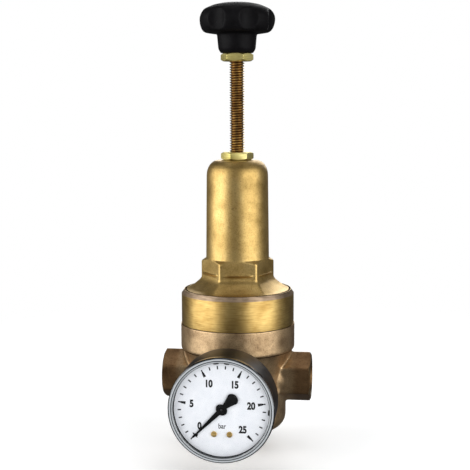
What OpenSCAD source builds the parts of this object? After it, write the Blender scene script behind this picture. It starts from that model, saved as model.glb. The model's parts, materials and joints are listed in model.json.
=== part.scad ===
// Direct-acting pressure reducing valve with a spring bonnet, a star grip on the adjusting
// spindle and a back-connected pressure gauge. All sizes are millimetres.
// Frame: +Z up along the spindle, +X from inlet to outlet, the gauge looks along -Y.
// The origin is the centre of the flat face under the bottom plug, on the spindle's axis.

/* [Ports] */
// Height of the pipe axis above the plug's face
port_z = 45; // [44:0.5:47]
// Distance between the two pipe faces
face_to_face = 95; // [92:1:110]
// Width across the flats of the hexagonal pipe ends
port_af = 28; // [27:0.5:30]
// Minor radius of the G 1/2 pipe thread
port_r = 9.315; // [9.3:0.005:9.35]
// Length of full thread in each pipe end
port_thread = 15; // [13:0.5:17]

/* [Body] */
// Height of the seam between body and bonnet
seam_z = 79.5; // [79:0.5:82]
// Radius of the cast band under the seam
band_r = 36.5; // [36:0.25:38]
// Height of the cast band
band_h = 16; // [14:0.5:17]
// Radius of the bowl below the band
bowl_r = 31; // [30.5:0.25:32]
// Radius of the rounded bottom edge of the bowl
bowl_round = 9; // [6:0.5:11]

/* [Bonnet] */
// Radius of the turned flange ring
ring_r = 36; // [35:0.25:37]
// Height of the flange ring, from the seam to its upper edge
ring_h = 20; // [18:0.5:22]
// Top of the bonnet, where the locknut seats
bonnet_top = 184; // [182:0.5:186]
// Width across the flats of the bonnet's hexagon, before its corners are turned
bonnet_af = 40.5; // [40:0.5:42]
// Radius to which the hexagon's corners are turned
bonnet_corner_r = 23.1; // [22.5:0.1:23.4]
// Outside radius of the bell at its foot
bell_foot_r = 20.2; // [19.8:0.1:20.4]
// Outside radius of the bell at its shoulder
bell_top_r = 19.5; // [19:0.1:19.7]
// Angle at which the bonnet's hexagon comes to rest when tight
bonnet_turn = 8; // [0:1:59]

/* [Spindle and grip] */
// Outside diameter of the 3/8 in Whitworth spindle thread
thread_d = 9.525; // [9.5:0.005:9.53]
// Thread pitch, 16 threads per inch
thread_pitch = 1.5875; // [1.58:0.0025:1.6]
// Running clearance of the thread, on radius
thread_gap = 0.05; // [0.03:0.01:0.08]
// Width across the flats of both spindle nuts
nut_af = 18; // [17:0.5:19]
// Thickness of both spindle nuts
nut_h = 5; // [4.5:0.1:5.5]
// Height of the underside of the grip's hub
hub_z = 250.7; // [249:0.1:252]
// Radius over the lobes of the star grip
knob_r = 24; // [23:0.5:25]
// Number of lobes on the star grip
knob_lobes = 7; // [5:1:9]
// Height of the star grip with its hub
knob_h = 31.3; // [31:0.1:32]
// Largest travel of the spindle, in whole turns
turns = 18; // [10:1:18]

/* [Gauge] */
// Outside radius of the nominal 63 mm gauge
gauge_r = 31.5; // [31:0.25:32]
// Height of the gauge's axis
gauge_z = 43; // [42:0.5:45]
// Distance of the gauge's front from the spindle's axis
gauge_front = 79; // [78:0.5:81]
// Depth of the gauge case behind its front
gauge_depth = 29.5; // [28:0.5:30]
// Angle between zero and full scale on the dial
dial_sweep = 270; // [260:5:270]

/* [Trim] */
// Travel of the valve disc between shut and open
lift = 2; // [1:0.1:2.2]
// Wire diameter of the set spring
spring_wire = 4; // [3:0.1:4.2]
// Mean radius of the set spring
spring_r = 11.6; // [11:0.1:12]

/* [Hidden] */

$fn = 96;
eps = 0.02;                                 // overlap that joins two solids cleanly
contact_gap = 0.05;                         // room left between pieces that only touch

// colours
bronze = "#a98868";
brass = "#b99a4e";
bright_brass = "#d8c66c";
steel = "#8f9296";
black = "#1c1d1f";
rubber = "#26272b";
clear = "#c9d2d6";

// body
half_face = face_to_face / 2;
band_z = seam_z - band_h;
bowl_bottom = 11;
foot_z = 7;                                 // underside of the body, where the plug seats
foot_r = 20;
web_bottom = 36;                            // roof of the inlet chamber
web_top = 55;                               // floor of the outlet chamber
inlet_chamber_r = 17;
outlet_chamber_r = 24;
ledge_z = 66;                               // ledge that carries the diaphragm's rim
socket_r = 31;                              // threaded socket for the bonnet
passage_r = 7.5;
duct_r = 6;
duct_x = 17;
boss_face = 38.5;                           // faces of the two gauge bosses
boss_r = 11;
gauge_tap_r = 5.8;                          // G 1/4 tapping
tap_bottom = 26;

// diaphragm stack, from the ledge up
diaphragm_t = 2;
slip_z = ledge_z + diaphragm_t;
slip_t = 1.5;
skirt_z = slip_z + slip_t;
washer_r = 16;
washer_t = 4;
plate_t = 5;
plate_r = 15.5;
spring_foot_z = slip_z + 0.15 + plate_t;

// bonnet
ring_top = seam_z + ring_h;
flare_top = ring_top + 13;
hex_top = port_z + 76.5;
bell_shoulder = bonnet_top - 9.5;
cavity_r = 16.4;
cavity_top = bonnet_top - 18;
skirt_r = 26;

// spindle
screw_r = thread_d / 2;
thread_depth = 0.6403 * thread_pitch;
screw_hole_r = screw_r + thread_gap;
spindle_foot = 160;
spindle_head = 266;
upper_plate_t = 6;
spring_head_z = spindle_foot - contact_gap - upper_plate_t;
travel = turns * thread_pitch;

// trim
seat_r = 6;
seat_lip_z = 34.5;
seat_outer_r = 9;
stem_r = 2.5;
holder_r = 9.5;
holder_z = 26;
disc_r = 8.3;
guide_r = 3;
plug_af = 30;
plug_thread_r = 15;
plug_top = 17;
plug_floor = 10;

// gauge, along its own axis: 0 is the front, depth counts towards the valve
case_wall = 1.6;
dial_depth = 3.4;
dial_t = 0.5;
dial_r = 28.9;
socket_hex_af = 14;
window_t = 1.6;
case_back = gauge_depth;
movement_front = 8;
movement_back = 17;
arbor_r = 0.75;
sector_offset = 9;                          // distance between pointer and sector arbors
pinion_teeth = 8;
sector_teeth = 64;
gear_module = 2 * sector_offset / (pinion_teeth + sector_teeth);
tail = 6;                                   // from the sector's arbor to the link
tube_mean_r = 16;
tube_foot_angle = 102;                      // place of the tube's foot
tip_angle = 50;                             // place of the tube's free end, from +X towards down
tip = [tube_mean_r * cos(tip_angle), tube_mean_r * sin(tip_angle)];
zero_turn = 90 - dial_sweep / 2;            // turns a piece that points left to the zero mark

function hex_r(af) = af / 2 / cos(30);

// Places its children on the gauge's axis, with depth 0 at the front and +Z towards the valve.
module at_gauge() {
    translate([0, -gauge_front, gauge_z]) rotate([-90, 0, 0]) children();
}

// Hexagonal prism whose first corner lies at the given angle.
module hex_prism(af, h, turn = 0) {
    rotate([0, 0, turn]) cylinder(r = hex_r(af), h = h, $fn = 6);
}

// Solid of revolution that takes a hexagon's corners off at 30 degrees at one or both ends.
module corner_cone(af, h, low = true, high = true, cut = 0.93) {
    r0 = af / 2 * (2 - cut);
    r1 = hex_r(af) + 0.1;
    rise = (r1 - r0) * tan(30);
    rotate_extrude() polygon(concat(
        [[0, 0], [low ? r0 : r1, 0]],
        low ? [[r1, rise]] : [],
        high ? [[r1, h - rise]] : [],
        [[high ? r0 : r1, h], [0, h]]));
}

// Jam nut: hexagon with turned corners and a plain bore at the thread's crest.
module jam_nut(z, turn, gap) {
    difference() {
        translate([0, 0, z]) intersection() {
            hex_prism(nut_af, nut_h, turn);
            corner_cone(nut_af, nut_h, cut = 1.04);
        }
        translate([0, 0, z - 1]) cylinder(r = screw_r + gap, h = nut_h + 2);
    }
}

// Round wire wound to a helix with flattened pitch at both ends, as one closed skin.
module coil_spring(foot, head, mean_r, wire, active) {
    steps = 20;
    sides = 10;
    closed = 1;
    total = (active + 2 * closed) * steps;
    span = head - foot - wire;
    rise = (span - 2 * closed * wire) / active;
    function height(t) = foot + wire / 2 + (t < closed ? t * wire
        : t > active + closed ? closed * wire + active * rise + (t - active - closed) * wire
        : closed * wire + (t - closed) * rise);
    pts = [for (i = [0:total], k = [0:sides - 1])
        let (t = i / steps, a = 360 * t, b = 360 * k / sides, r = mean_r + wire / 2 * cos(b))
        [r * cos(a), r * sin(a), height(t) + wire / 2 * sin(b)]];
    skin = [for (i = [0:total - 1], k = [0:sides - 1])
        let (n = (k + 1) % sides)
        [i * sides + k, i * sides + n, (i + 1) * sides + n, (i + 1) * sides + k]];
    polyhedron(pts, concat(skin, [[for (k = [sides - 1:-1:0]) k]],
        [[for (k = [0:sides - 1]) total * sides + k]]));
}

// Ring of round cord section.
module o_ring(mean_r, cord_r, z) {
    translate([0, 0, z]) rotate_extrude() translate([mean_r, 0]) circle(r = cord_r, $fn = 32);
}

// Outline of the body's turned and cast outside, from the foot to the seam.
module body_outside() {
    rotate_extrude() polygon(concat(
        [[0, foot_z], [foot_r - 1, foot_z], [foot_r, foot_z + 1], [foot_r, bowl_bottom]],
        [for (a = [-90:15:0]) [bowl_r - bowl_round + bowl_round * cos(a),
            bowl_bottom + bowl_round + bowl_round * sin(a)]],
        [[bowl_r, port_z - 2]],
        [for (t = [0.2:0.2:1]) [bowl_r + (band_r - 1.7 - bowl_r) * pow(t, 2),
            port_z - 2 + (band_z - 1 - port_z + 2) * t]],
        [[band_r - 0.9, band_z - 0.6], [band_r - 0.9, band_z], [band_r, band_z + 0.5],
            [band_r, seam_z - 0.4], [band_r - 0.4, seam_z], [0, seam_z]]));
}

// Both hexagonal pipe ends as one bar, corners up and down, end faces turned to 30 degrees, with
// a cone at each root that blends it into the bowl. Round pieces here are turned a little about
// their own axes, so that no surface starts on an edge of another.
module pipe_ends() translate([0, 0, port_z]) rotate([0, 90, 0]) {
    translate([0, 0, -half_face]) intersection() {
        hex_prism(port_af, face_to_face, 0);
        rotate([0, 0, 17]) corner_cone(port_af, face_to_face, cut = 1.03);
    }
    for (turn = [0, 180]) rotate([turn, 0, 0]) rotate([0, 0, 17]) translate([0, 0, 10])
        cylinder(r1 = port_af / 2 + 4, r2 = port_af / 2 - 1, h = bowl_r - 5);
}

module valve_body() color(bronze) difference() {
    union() {
        rotate([0, 0, 40]) body_outside();
        pipe_ends();
        translate([0, boss_face, gauge_z]) rotate([90, 0, 0]) rotate([0, 0, 17])
            cylinder(r = boss_r, h = 2 * boss_face);
    }
    // chambers and the bonnet's socket
    rotate([0, 0, 40]) {
        translate([0, 0, foot_z - 1])
            cylinder(r = plug_thread_r + contact_gap, h = plug_top - foot_z + 1);
        translate([0, 0, foot_z - 1]) cylinder(r = plug_thread_r + 3, h = 2.6);
        translate([0, 0, plug_top - eps])
            cylinder(r = inlet_chamber_r, h = web_bottom - plug_top + eps);
        translate([0, 0, web_top]) cylinder(r = outlet_chamber_r, h = seam_z - web_top);
        translate([0, 0, ledge_z]) cylinder(r = socket_r, h = seam_z - ledge_z + 1);
        translate([0, 0, web_bottom - 1])
            cylinder(r = seat_outer_r + eps, h = web_top - web_bottom + 2);
    }
    // pipe threads, passages and the ducts to the two chambers
    for (side = [-1, 1]) {
        translate([side * (half_face + 1), 0, port_z]) rotate([0, -90 * side, 0]) rotate([0, 0, 17])
            cylinder(r = port_r, h = port_thread + 1);
        translate([side * (half_face - port_thread + 1), 0, port_z]) rotate([0, -90 * side, 0])
            rotate([0, 0, 17]) cylinder(r = passage_r, h = half_face - port_thread + 1 - duct_x);
    }
    translate([-duct_x, 0, web_bottom - 6]) rotate([0, 0, 50])
        cylinder(r = duct_r, h = port_z - web_bottom + 6);
    translate([duct_x, 0, port_z]) rotate([0, 0, 50]) cylinder(r = duct_r, h = web_top - port_z + 1);
    // the two gauge tappings, each with a small drilling up to the outlet chamber
    for (side = [-1, 1]) {
        translate([0, side * (boss_face + 1), gauge_z]) rotate([90 * side, 0, 0])
            rotate([0, 0, 17]) cylinder(r = gauge_tap_r, h = boss_face + 1 - tap_bottom);
        translate([0, side * (tap_bottom + 1), gauge_z]) rotate([90 * side, 0, 0])
            rotate([0, 0, 17]) cylinder(r = 2, h = 7, $fn = 32);
        translate([0, side * 21, gauge_z - 1]) rotate([0, 0, 50])
            cylinder(r = 2, h = web_top - gauge_z + 2, $fn = 32);
    }
}

// Outline of the forged bonnet: ring, concave flare, neck, bell and turned head.
module bonnet_outside() {
    flare_r = 7;
    neck_r = bonnet_af / 2 + 2;
    slope_end = [neck_r + flare_r * (1 - cos(60)), flare_top - flare_r * sin(60)];
    rotate_extrude() polygon(concat(
        [[0, skirt_z], [socket_r - 1, skirt_z], [socket_r - contact_gap, skirt_z + 1],
            [socket_r - contact_gap, seam_z + eps], [ring_r - 0.5, seam_z + contact_gap],
            [ring_r, seam_z + 0.5], [ring_r, ring_top - 0.5], [ring_r - 1.8, ring_top + 2.2],
            [slope_end[0] + 4, slope_end[1] - 2.6], [slope_end[0] + 3.6, slope_end[1] - 1.9]],
        [for (a = [60:-10:10]) [neck_r + flare_r * (1 - cos(a)), flare_top - flare_r * sin(a)]],
        [[neck_r, flare_top], [bell_foot_r, flare_top + 2], [bell_foot_r, hex_top + 2],
            [bell_top_r, bell_shoulder]],
        [for (a = [15:15:75]) [bell_top_r - 7.5 * (1 - cos(a)),
            bell_shoulder + (bonnet_top - bell_shoulder) * sin(a)]],
        [[bell_top_r - 7.7, bonnet_top], [0, bonnet_top]]));
}

module bonnet_hexagon() {
    intersection() {
        translate([0, 0, ring_top]) hex_prism(bonnet_af, hex_top - ring_top, bonnet_turn);
        rotate_extrude() polygon([[0, ring_top], [bonnet_corner_r, ring_top],
            [bonnet_corner_r, hex_top - 1.2], [bonnet_corner_r - 2, hex_top], [0, hex_top]]);
    }
}

module spring_bonnet() color(brass) difference() {
    union() {
        bonnet_outside();
        bonnet_hexagon();
    }
    rotate_extrude() polygon([[0, skirt_z - 1], [skirt_r, skirt_z - 1], [skirt_r, seam_z + 6],
        [cavity_r, seam_z + 16], [cavity_r, cavity_top - 4], [cavity_r - 5, cavity_top],
        [0, cavity_top]]);
    translate([0, 0, cavity_top - 1]) cylinder(r = screw_hole_r, h = bonnet_top - cavity_top + 2);
}

module slip_ring() color(bright_brass) difference() {
    translate([0, 0, slip_z]) cylinder(r = socket_r - 0.3, h = slip_t - eps);
    translate([0, 0, slip_z - 1]) cylinder(r = skirt_r, h = slip_t + 2);
}

module diaphragm() color(rubber) difference() {
    translate([0, 0, ledge_z + eps]) cylinder(r = socket_r - 0.4, h = diaphragm_t - 2 * eps);
    translate([0, 0, ledge_z - 1]) cylinder(r = stem_r + 0.1, h = diaphragm_t + 2);
}

module diaphragm_washer() color(bright_brass) difference() {
    translate([0, 0, ledge_z - 0.1 - washer_t]) union() {
        cylinder(r = 6, h = washer_t);
        translate([0, 0, 1.6]) cylinder(r = washer_r, h = washer_t - 1.6);
    }
    translate([0, 0, ledge_z - washer_t - 1]) cylinder(r = stem_r + eps, h = washer_t + 2);
}

module lower_spring_plate() color(steel) difference() {
    union() {
        translate([0, 0, slip_z + 0.15]) cylinder(r = plate_r, h = plate_t);
        translate([0, 0, slip_z + 0.15 + plate_t - eps])
            cylinder(r1 = spring_r - spring_wire / 2 - 0.4, r2 = 8, h = 3);
    }
    translate([0, 0, slip_z]) cylinder(r = stem_r + eps, h = plate_t + 5);
    translate([0, 0, slip_z + 0.15 + plate_t]) cylinder(r = 6.6, h = 4);
}

module diaphragm_nut() color(steel) difference() {
    translate([0, 0, spring_foot_z + eps]) hex_prism(10, 4);
    translate([0, 0, spring_foot_z - 1]) cylinder(r = stem_r + eps, h = 6);
}

module valve_stem() color(steel) {
    translate([0, 0, holder_z + 1]) cylinder(r = stem_r, h = spring_foot_z + 5 - holder_z - 1, $fn = 48);
}

module disc_holder() color(brass) difference() {
    union() {
        translate([0, 0, holder_z]) cylinder(r = holder_r, h = seat_lip_z - holder_z - 1.2);
        translate([0, 0, plug_floor - 4]) cylinder(r = guide_r, h = holder_z - plug_floor + 5);
    }
    translate([0, 0, holder_z + 1]) cylinder(r = stem_r + eps, h = 12);
    translate([0, 0, seat_lip_z - 4]) cylinder(r = disc_r + eps, h = 6);
}

module valve_disc() color(rubber) difference() {
    translate([0, 0, seat_lip_z - 4 + eps]) cylinder(r = disc_r, h = 4 - contact_gap - eps);
    translate([0, 0, seat_lip_z - 5]) cylinder(r = stem_r + eps, h = 6);
}

module seat_ring() color(steel) difference() {
    union() {
        translate([0, 0, seat_lip_z]) cylinder(r = seat_outer_r, h = web_top - seat_lip_z + 0.1);
        translate([0, 0, web_top + 1.2]) cylinder(r = seat_outer_r + 3, h = 2);
        translate([0, 0, web_top]) cylinder(r = seat_outer_r, h = 2);
    }
    translate([0, 0, seat_lip_z - 1]) cylinder(r = seat_r, h = 30);
    // narrow lip that the disc shuts against
    translate([0, 0, seat_lip_z - eps]) difference() {
        cylinder(r = seat_outer_r + 1, h = 1);
        translate([0, 0, -1]) cylinder(r = seat_r + 1.2, h = 3);
    }
}

module seat_ring_seal() color(rubber) difference() {
    translate([0, 0, web_top + eps]) cylinder(r = seat_outer_r + 2.6, h = 1.2 - 2 * eps);
    translate([0, 0, web_top - 1]) cylinder(r = seat_outer_r + eps, h = 4);
}

module closing_spring() color(steel) {
    coil_spring(plug_floor + eps, holder_z - eps, 6.4, 1.2, 6);
}

module bottom_plug() color(brass) difference() {
    union() {
        intersection() {
            hex_prism(plug_af, foot_z - 1.8, 0);
            corner_cone(plug_af, foot_z - 1.8, high = false, cut = 1.0);
        }
        translate([0, 0, foot_z - 2]) cylinder(r = foot_r - 0.6, h = 1.9);
        translate([0, 0, foot_z - 0.2]) cylinder(r = plug_thread_r, h = plug_top - foot_z + 0.2);
    }
    translate([0, 0, plug_floor]) cylinder(r = 11, h = 20);
    translate([0, 0, 3]) cylinder(r = guide_r + contact_gap, h = 20);
}

module bottom_plug_seal() color(rubber) {
    o_ring(plug_thread_r + 1.5, 0.75, foot_z + 0.75);
}

module set_spring() color("#3c4048") {
    coil_spring(spring_foot_z + eps, spring_head_z - eps, spring_r, spring_wire, 8);
}

module upper_spring_plate() color(steel) difference() {
    union() {
        translate([0, 0, spring_head_z]) cylinder(r = cavity_r - 0.6, h = upper_plate_t);
        translate([0, 0, spring_head_z - 4])
            cylinder(r2 = spring_r - spring_wire / 2 - 0.4, r1 = 7.6, h = 4 + eps);
    }
    // conical centre that the spindle's point turns in
    translate([0, 0, spindle_foot - 2.4])
        cylinder(r1 = 0.3, r2 = 4.2, h = 2.5);
}

module adjusting_spindle() color("#9c8040") {
    grooves = floor((spindle_head - bonnet_top - nut_h - 2) / thread_pitch);
    first = bonnet_top + nut_h + 1;
    difference() {
        union() {
            rotate_extrude() polygon(concat(
                [[0, spindle_foot - 1.4], [1.2, spindle_foot - 1.4], [3.4, spindle_foot + 0.2],
                    [screw_r - thread_depth, spindle_foot + 0.6], [screw_r, spindle_foot + 1.8]],
                [for (i = [0:grooves - 1], p = [[0, 0.2], [-thread_depth, 0.5], [0, 0.8]])
                    [screw_r + p[0], first + (i + p[1]) * thread_pitch]],
                [[screw_r, spindle_head - 1], [screw_r - 1, spindle_head], [0, spindle_head]]));
        }
        // slot across the hidden upper end
        translate([-6, -0.6, spindle_head - 1.5]) cube([12, 1.2, 3]);
    }
}

module spindle_locknut() color(bright_brass) {
    jam_nut(bonnet_top + contact_gap, 12, thread_gap);
}

module knob_nut() color(bright_brass) {
    jam_nut(hub_z - nut_h - eps, -1, eps);
}

// Radius of the star grip's outline at an angle: round lobes with shallow finger flutes.
module star_outline(r, flute) {
    pitch_angle = 360 / knob_lobes;
    flute_r = 9.5;
    difference() {
        circle(r = r);
        for (i = [0:knob_lobes - 1]) rotate((i + 0.5) * pitch_angle)
            translate([r + flute_r - flute, 0]) circle(r = flute_r, $fn = 64);
    }
}

module star_knob() color(black) difference() {
    top = hub_z + knob_h;
    union() {
        intersection() {
            translate([0, 0, hub_z + 12]) rotate(-90) linear_extrude(knob_h - 12)
                star_outline(knob_r, 3);
            rotate_extrude() polygon(concat(
                [[0, hub_z + 12], [knob_r - 9, hub_z + 12]],
                [for (a = [-80:20:80]) [knob_r - 5 + 5 * cos(a),
                    hub_z + 21.6 + (a < 0 ? 9 : 7.6) * sin(a)]],
                [[knob_r - 9, top - 0.9], [9, top - 0.2], [0, top]]));
        }
        rotate_extrude() polygon([[0, hub_z], [10.2, hub_z], [11.7, hub_z + 2.6],
            [12.6, hub_z + 12.2], [knob_r - 6, hub_z + 14.6], [0, hub_z + 16]]);
    }
    translate([0, 0, hub_z - 1]) cylinder(r = 7 + eps, h = 18 + 1);
}

module knob_insert() color(brass) difference() {
    translate([0, 0, hub_z]) cylinder(r = 7, h = 18 - eps);
    translate([0, 0, hub_z - 1]) cylinder(r = screw_r + eps, h = 17);
}

// Plug and washer that close the second gauge tapping, on the far side.
module gauge_port_plug() color(brass) {
    translate([0, boss_face + 1.5, gauge_z]) rotate([-90, 0, 0]) {
        intersection() {
            hex_prism(17, 6, 0);
            corner_cone(17, 6, low = false, cut = 1.0);
        }
        translate([0, 0, -11]) cylinder(r = gauge_tap_r - eps, h = 11 + eps);
    }
}

module gauge_port_plug_seal() color(rubber) {
    translate([0, boss_face + eps, gauge_z]) rotate([-90, 0, 0]) difference() {
        cylinder(r = 8.2, h = 1.5 - 2 * eps);
        translate([0, 0, -1]) cylinder(r = gauge_tap_r + eps, h = 4);
    }
}

module gauge_seal() color("#b5633c") {
    translate([0, -boss_face - eps, gauge_z]) rotate([90, 0, 0]) difference() {
        cylinder(r = 8.2, h = 1.5 - 2 * eps);
        translate([0, 0, -1]) cylinder(r = gauge_tap_r + eps, h = 4);
    }
}

module gauge_socket() color(brass) at_gauge() difference() {
    flange = gauge_front - boss_face - 1.5;
    union() {
        translate([0, 0, case_back - 7]) cylinder(r = 7, h = flange - case_back + 7);
        intersection() {
            translate([0, 0, case_back + 1]) hex_prism(socket_hex_af, flange - case_back - 1, 0);
            translate([0, 0, case_back + 1]) corner_cone(socket_hex_af, flange - case_back - 1, cut = 1.0);
        }
        translate([0, 0, flange - eps]) cylinder(r = gauge_tap_r - eps, h = 12.5);
        // block that carries the movement and the foot of the bourdon tube
        translate([-4, -2, movement_back + 1]) cube([8, 16, case_back - case_wall - movement_back - 1.1]);
        translate([-3, 13, movement_back + 2.6]) cube([7, 4.5, 4.8]);
    }
    translate([0, 0, case_back - 4]) cylinder(r = 1.5, h = 40, $fn = 32);
}

module gauge_case() color(black) at_gauge() difference() {
    r_back = gauge_r - 0.6;
    rotate_extrude() polygon(concat(
        [[0, case_back]],
        [for (a = [90:-15:0]) [r_back - 3 + 3 * cos(a), case_back - 3 + 3 * sin(a)]],
        [[gauge_r - 0.3, 4.2], [gauge_r - 0.3, 3.6], [0, 3.6]]));
    translate([0, 0, 3]) cylinder(r = gauge_r - 0.3 - case_wall, h = case_back - case_wall - 3);
    translate([0, 0, 3]) cylinder(r = 7 + eps, h = case_back);
}

// Snap-in window: a flat pane with a stepped rim that laps over the case.
module gauge_window() color(clear, 0.4) at_gauge() rotate_extrude() polygon([
    [0, 0.5], [gauge_r - 3.2, 0.5], [gauge_r - 2.6, 0], [gauge_r - 0.7, 0], [gauge_r, 0.7],
    [gauge_r, 3.5], [gauge_r - 1.95, 3.5], [gauge_r - 1.95, 5], [gauge_r - 2.6, 5],
    [gauge_r - 2.8, 0.5 + window_t], [0, 0.5 + window_t]]);

module gauge_dial() color("white") at_gauge() difference() {
    translate([0, 0, dial_depth]) cylinder(r = 28.2, h = dial_t);
    translate([0, 0, dial_depth - 1]) cylinder(r = 1.6, h = 3, $fn = 48);
    for (side = [-1, 1]) translate([side * 4.6, 14.8, dial_depth - 1])
        cylinder(r = 1, h = 3, $fn = 32);
    stop_place() translate([0, 0, dial_depth - 1]) cylinder(r = 0.4, h = 3, $fn = 32);
}

// Place of the stop pin, just past the resting pointer.
module stop_place() {
    rotate([0, 0, zero_turn - 2.4]) translate([-21.2, 0, 0]) children();
}

module dial_screws() color(bright_brass) at_gauge() {
    for (side = [-1, 1]) translate([side * 4.6, 14.8, 0]) difference() {
        union() {
            translate([0, 0, dial_depth - 0.7]) cylinder(r = 1.7, h = 0.7 - eps, $fn = 48);
            translate([0, 0, dial_depth - 0.1])
                cylinder(r = 0.95, h = movement_front + 1 - dial_depth, $fn = 32);
        }
        translate([-2, -0.2, dial_depth - 1]) cube([4, 0.4, 0.6]);
    }
}

module stop_pin() color(steel) at_gauge() {
    stop_place() translate([0, 0, dial_depth - 1.1])
        cylinder(r = 0.38, h = 1.1 + dial_t, $fn = 32);
}

// Pointer: tapered blade, round hub and teardrop tail, drawn at zero, down and to the left.
module pointer() color(black) at_gauge() rotate([0, 0, zero_turn])
    difference() {
        translate([0, 0, dial_depth - 0.9]) linear_extrude(0.4) polygon(concat(
            [[-23.8, -0.3], [-23.8, 0.3]], [for (a = [156:-12:24]) 3 * [cos(a), sin(a)]],
            [for (a = [120:-15:-120]) [9.2 + 2.9 * cos(a), 2.9 * sin(a)]],
            [for (a = [-24:-12:-156]) 3 * [cos(a), sin(a)]]));
        translate([0, 0, dial_depth - 2]) cylinder(r = arbor_r - 0.15, h = 3, $fn = 48);
    }

// Outline points of teeth first to last on a wheel with that many teeth, tooth 0 centred on +X.
function tooth_points(teeth, first, last) =
    let (pitch_r = gear_module * teeth / 2, tip = pitch_r + gear_module * 0.8,
        root = pitch_r - gear_module * 1.1, quarter = 90 / teeth)
    [for (i = [first:last], p = [[root, -1.3], [tip, -0.4], [tip, 0.4], [root, 1.3]])
        let (a = 360 / teeth * i + p[1] * quarter) [p[0] * cos(a), p[0] * sin(a)]];

module pointer_arbor() color(steel) at_gauge() {
    translate([0, 0, dial_depth - 1.2]) cylinder(r = arbor_r - 0.15 - eps / 2, h = 2, $fn = 48);
    translate([0, 0, dial_depth + 0.7]) cylinder(r = arbor_r, h = movement_back - dial_depth, $fn = 48);
    translate([0, 0, movement_front + 2]) rotate([0, 0, 90]) linear_extrude(3)
        polygon(tooth_points(pinion_teeth, 0, pinion_teeth - 1));
}

// Toothed sector that meshes above its arbor, with a tail below that the link pulls. At zero
// its first teeth are in mesh, so the blade reaches to one side.
module sector_gear() color(bright_brass) at_gauge()
    translate([0, sector_offset, movement_front + 2.6]) difference() {
        union() {
            rotate([0, 0, -90 + 180 / sector_teeth]) linear_extrude(1.6)
                polygon(concat(tooth_points(sector_teeth, -2, 7), [[0, 1.6], [-1.2, 0], [0, -1.6]]));
            cylinder(r = 2, h = 1.6);
            translate([-1.2, 0, 0]) cube([2.4, tail, 1.6]);
            translate([0, tail, 0]) cylinder(r = 1.2, h = 1.6, $fn = 32);
        }
        translate([0, 0, -1]) cylinder(r = arbor_r + contact_gap, h = 4, $fn = 48);
    }

module sector_arbor() color(steel) at_gauge() translate([0, sector_offset, movement_front + 0.1])
    cylinder(r = arbor_r, h = movement_back - movement_front + 0.8, $fn = 48);

// Two brass plates on pillars that carry both arbors.
module movement_frame() color(brass) at_gauge() difference() {
    corners = [[-7, -4], [7, -4], [-7, 16.5], [7, 16.5]];
    union() {
        for (z = [movement_front, movement_back]) translate([0, 0, z]) hull()
            for (p = corners) translate([p[0], p[1], 0]) cylinder(r = 2, h = 1, $fn = 32);
        for (p = corners) translate([p[0], p[1], movement_front])
            cylinder(r = 1.4, h = movement_back - movement_front, $fn = 32);
    }
    for (y = [0, sector_offset]) translate([0, y, movement_front - 1])
        cylinder(r = arbor_r + contact_gap, h = 14, $fn = 48);
    for (side = [-1, 1]) translate([side * 4.6, 14.8, movement_front - 1])
        cylinder(r = 1, h = 3, $fn = 32);
}

// Flat spiral that takes up the slack between pinion and sector.
module hairspring() {
    coils = 4;
    steps = 16;
    thick = 0.14;
    last = coils * steps;
    function spiral(i, out) = let (a = 360 * i / steps, r = arbor_r + 0.2 + 0.85 * i / steps + out)
        [r * cos(a), r * sin(a)];
    color(bright_brass) at_gauge() translate([0, 0, movement_front + 5.6]) linear_extrude(0.8)
        polygon(concat([for (i = [0:last]) spiral(i, thick)], [for (i = [last:-1:0]) spiral(i, 0)]));
}

// Flat link between the sector's tail and the free end of the tube.
module link() color(bright_brass) at_gauge() translate([0, 0, movement_front + 4.4])
    difference() {
        hull() for (p = [[0, sector_offset + tail], tip])
            translate([p[0], p[1], 0]) cylinder(r = 1.2, h = 0.8, $fn = 32);
        for (p = [[0, sector_offset + tail], tip])
            translate([p[0], p[1], -1]) cylinder(r = 0.5, h = 3, $fn = 32);
    }

// Flattened tube bent to most of a circle, from its foot on the socket to its free end.
module bourdon_tube() color("#b87d4b") at_gauge() translate([0, 0, movement_back + 5])
    rotate([0, 0, tube_foot_angle]) rotate_extrude(angle = 360 + tip_angle - 4 - tube_foot_angle)
        translate([tube_mean_r, 0]) polygon([for (a = [0:15:345]) [1.2 * cos(a), 3 * sin(a)]]);

// Cap that closes the tube's free end, with a post that reaches forward to the link.
module tube_tip() color(bright_brass) at_gauge() {
    translate([0, 0, movement_back + 5]) rotate([0, 0, tip_angle])
        translate([tube_mean_r - 2, -1, -3.4]) cube([4, 3, 6.8]);
    translate([tip[0], tip[1], movement_front + 5.3])
        cylinder(r = 0.8, h = movement_back - movement_front - 3, $fn = 32);
}

valve_body();
spring_bonnet();
slip_ring();
diaphragm();
diaphragm_washer();
lower_spring_plate();
diaphragm_nut();
valve_stem();
disc_holder();
valve_disc();
seat_ring();
seat_ring_seal();
closing_spring();
bottom_plug();
bottom_plug_seal();
set_spring();
upper_spring_plate();
adjusting_spindle();
spindle_locknut();
knob_nut();
star_knob();
knob_insert();
gauge_port_plug();
gauge_port_plug_seal();
gauge_seal();
gauge_socket();
gauge_case();
gauge_window();
gauge_dial();
dial_screws();
stop_pin();
pointer();
pointer_arbor();
sector_gear();
sector_arbor();
movement_frame();
hairspring();
link();
bourdon_tube();
tube_tip();
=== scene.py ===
# %% [markdown]
# # Pressure reducing valve
# A pressure reducing valve takes water in at a high, uneven pressure and lets it out at a
# lower, steady one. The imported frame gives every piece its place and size. This lesson dresses
# it: castings, forgings, turned brass, a screwed spindle, moulded plastics and a printed dial.
# Lengths are metres. +Z runs up the spindle, water flows along +X, and the gauge looks along -Y.

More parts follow.
